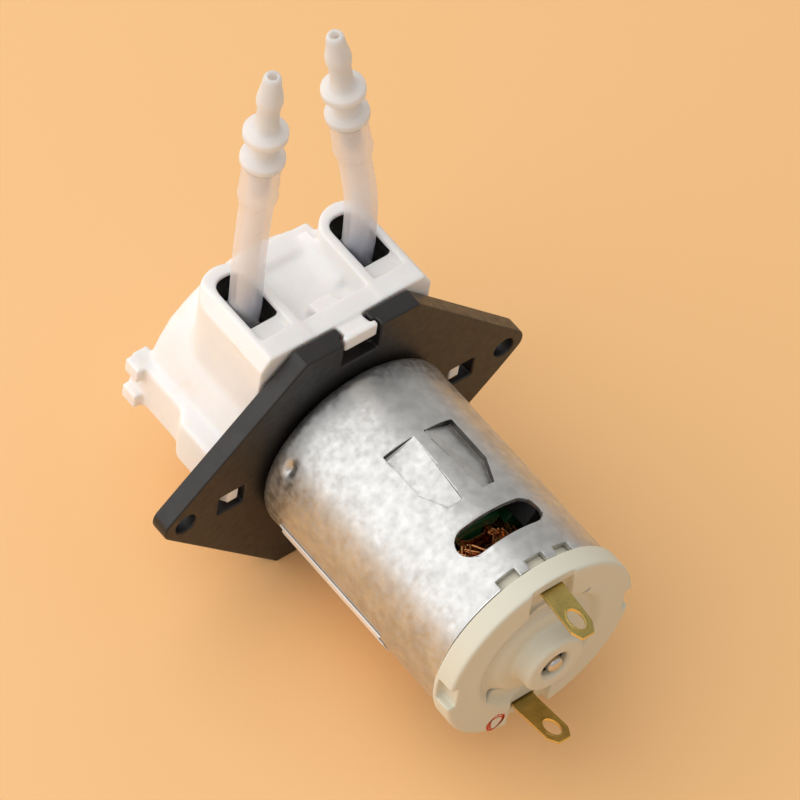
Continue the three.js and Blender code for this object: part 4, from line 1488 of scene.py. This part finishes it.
@dataclass
class Rotor:
    """The friction-driven rollers between their two carrier plates."""

    orbit: float = 6.35
    count: int = 3

    def build(self) -> None:
        """Models the plates, pins and rollers and installs them."""
        for i in range(self.count):
            a = math.radians(90 + 120 * i)
            at = (self.orbit * math.cos(a), 0.0, self.orbit * math.sin(a))
            side = [(5.1, y) for y in (-17.5, -13.15, -8.8)]
            profile = [(1.2, -17.9), (1.5, -18.0), (2.9, -18.0), (3.1, -17.7), (4.2, -17.7), (4.4, -18.0),
                       (4.7, -18.0), (5.0, -17.85), *side, (5.0, -8.45), (4.7, -8.3), (4.4, -8.3),
                       (4.2, -8.6), (3.1, -8.6), (2.9, -8.3), (1.5, -8.3), (1.2, -8.4)]
            roller = Bench.smooth(Bench.lathe(f"pinch_roller_{i + 1}", profile, 64, at), 30)
            install(roller, f"roller_{i + 1}", "ivory_nylon", IVORY, f"roller_{i + 1}")
            pin = [(0, -19.7), (0.8, -19.7), (1.0, -19.5), (1.0, -6.8), (0.8, -6.6), (0, -6.6)]
            made = Bench.smooth(Bench.lathe(f"pin_{i + 1}", pin, 40, at, ring=False))
            install(made, "carrier", "steel", STEEL, f"roller_pin_{i + 1}")
        for word in ("front", "rear"):
            plate = Bench.copy_of(f"carrier_{word}", f"carrier_plate_{word}", 0.2)
            install(plate, "carrier", "ivory_nylon", IVORY, f"carrier_{word}")


@dataclass(frozen=True)
class Carried:
    """A small inner part whose CAD shape stands, with its edges rounded."""

    node: str
    name: str
    body: str
    slot: str
    finish: Finish
    width: float

    def build(self) -> None:
        """Models the part from its CAD node and installs it."""
        part = Bench.copy_of(self.node, self.name, self.width)
        install(part, self.body, self.slot, self.finish, self.node)


INNER = (
    Carried("motor_screw_1", "pan_screw_1", "root", "steel", STEEL, 0.08),
    Carried("motor_screw_2", "pan_screw_2", "root", "steel", STEEL, 0.08),
    Carried("magnet_left", "ferrite_left", "root", "ferrite", FERRITE, 0.3),
    Carried("magnet_right", "ferrite_right", "root", "ferrite", FERRITE, 0.3),
    Carried("magnet_spring", "spring_strip", "root", "steel", STEEL, 0.08),
    Carried("brush_arm_upper", "brush_leaf_upper", "root", "copper", COPPER, 0.08),
    Carried("brush_arm_lower", "brush_leaf_lower", "root", "copper", COPPER, 0.08),
    Carried("carbon_brush_upper", "brush_upper", "root", "carbon", CARBON, 0.12),
    Carried("carbon_brush_lower", "brush_lower", "root", "carbon", CARBON, 0.12),
    Carried("thrust_washer_front", "washer_front", "armature", "carbon", CARBON, 0.08),
    Carried("thrust_washer_rear", "washer_rear", "armature", "carbon", CARBON, 0.08),
    Carried("armature_core", "enamelled_core", "armature", "core_enamel", ENAMEL, 0.22),
    Carried("commutator", "commutator_drum", "armature", "copper", COPPER, 0.08),
)


@dataclass
class Studio:
    """The floor, the camera and the soft lights."""

    floor: float = -20.42
    place: Point3 = (0.33778, 0.33610, 0.62403)
    ahead: Point3 = (-0.43921, -0.42669, -0.79059)
    right: Point3 = (-0.78537, 0.60966, 0.10726)
    lens: float = 284.2

    def camera(self) -> None:
        """Places the camera."""
        data = bpy.data.cameras.new("view")
        data.lens, data.sensor_width = self.lens, 36.0
        data.clip_start, data.clip_end = 0.01, 20.0
        camera = bpy.data.objects.new("view", data)
        back, right = -Vector(self.ahead).normalized(), Vector(self.right).normalized()
        up = back.cross(right).normalized()
        turn = Matrix((up.cross(back), up, back)).transposed().to_4x4()
        camera.matrix_world = Matrix.Translation(self.place) @ turn
        bpy.context.scene.collection.objects.link(camera)
        bpy.context.scene.camera = camera

    def lamp(self, name: str, place: Point3, size: float, power: float, colour: RGB = (1, 1, 1)) -> None:
        """One soft square light that faces the pump.

        Args:
            name: The light's name.
            place: Where it stands, in metres.
            size: Its side, in metres.
            power: Its power in watts.
            colour: Its colour.
        """
        data = bpy.data.lights.new(name, "AREA")
        data.size, data.energy, data.color = size, power, colour
        light = bpy.data.objects.new(name, data)
        light.location = place
        light.rotation_euler = (Vector(place) * -1).to_track_quat("-Z", "Y").to_euler()
        bpy.context.scene.collection.objects.link(light)

    def build(self) -> None:
        """Lays the floor and sets the lights."""
        self.camera()
        Bench.clear()
        bpy.ops.mesh.primitive_plane_add(size=6, location=(0, 0, self.floor * MM))
        floor = bpy.context.object
        floor.name = "floor"
        paper = Recipe("pale_paper", Base_Color=(0.97, 0.57, 0.25), Roughness=0.75)
        paper.relief(paper.noise(0.8, detail=3), 0.15, 0.02)
        floor.data.materials.append(paper.material)
        world = bpy.data.worlds.new("room")
        world.use_nodes = True
        sky = world.node_tree.nodes["Background"]
        sky.inputs["Color"].default_value = (1.0, 0.985, 0.965, 1)
        sky.inputs["Strength"].default_value = 0.54
        bpy.context.scene.world = world
        self.lamp("key", (0.445, -0.32, 0.512), 1.4, 7.2)
        bpy.context.scene.view_settings.view_transform = "Standard"


def main() -> None:
    """Builds the pump piece by piece around its frame."""
    logging.basicConfig(level=logging.INFO, format="%(name)s: %(message)s")
    Studio().build()
    path = TubePath()
    BaseFlange().build()
    HeadHousing().build()
    PumpTube().build(path)
    Connector("connector_left", "barb_connector_left", (8.3, -13.4, 42.9), (0.005, -0.01, 1)).build()
    Connector("connector_right", "barb_connector_right", (-6.43, -14.57, 40.6), (0.18, -0.1, 1)).build()
    TubeClips().build()
    MotorCan().build()
    Label().build()
    EndCap().build()
    Terminals().build()
    Windings().build()
    Shaft().build()
    Rotor().build()
    for part in INNER:
        part.build()


if __name__ == "__main__":
    main()
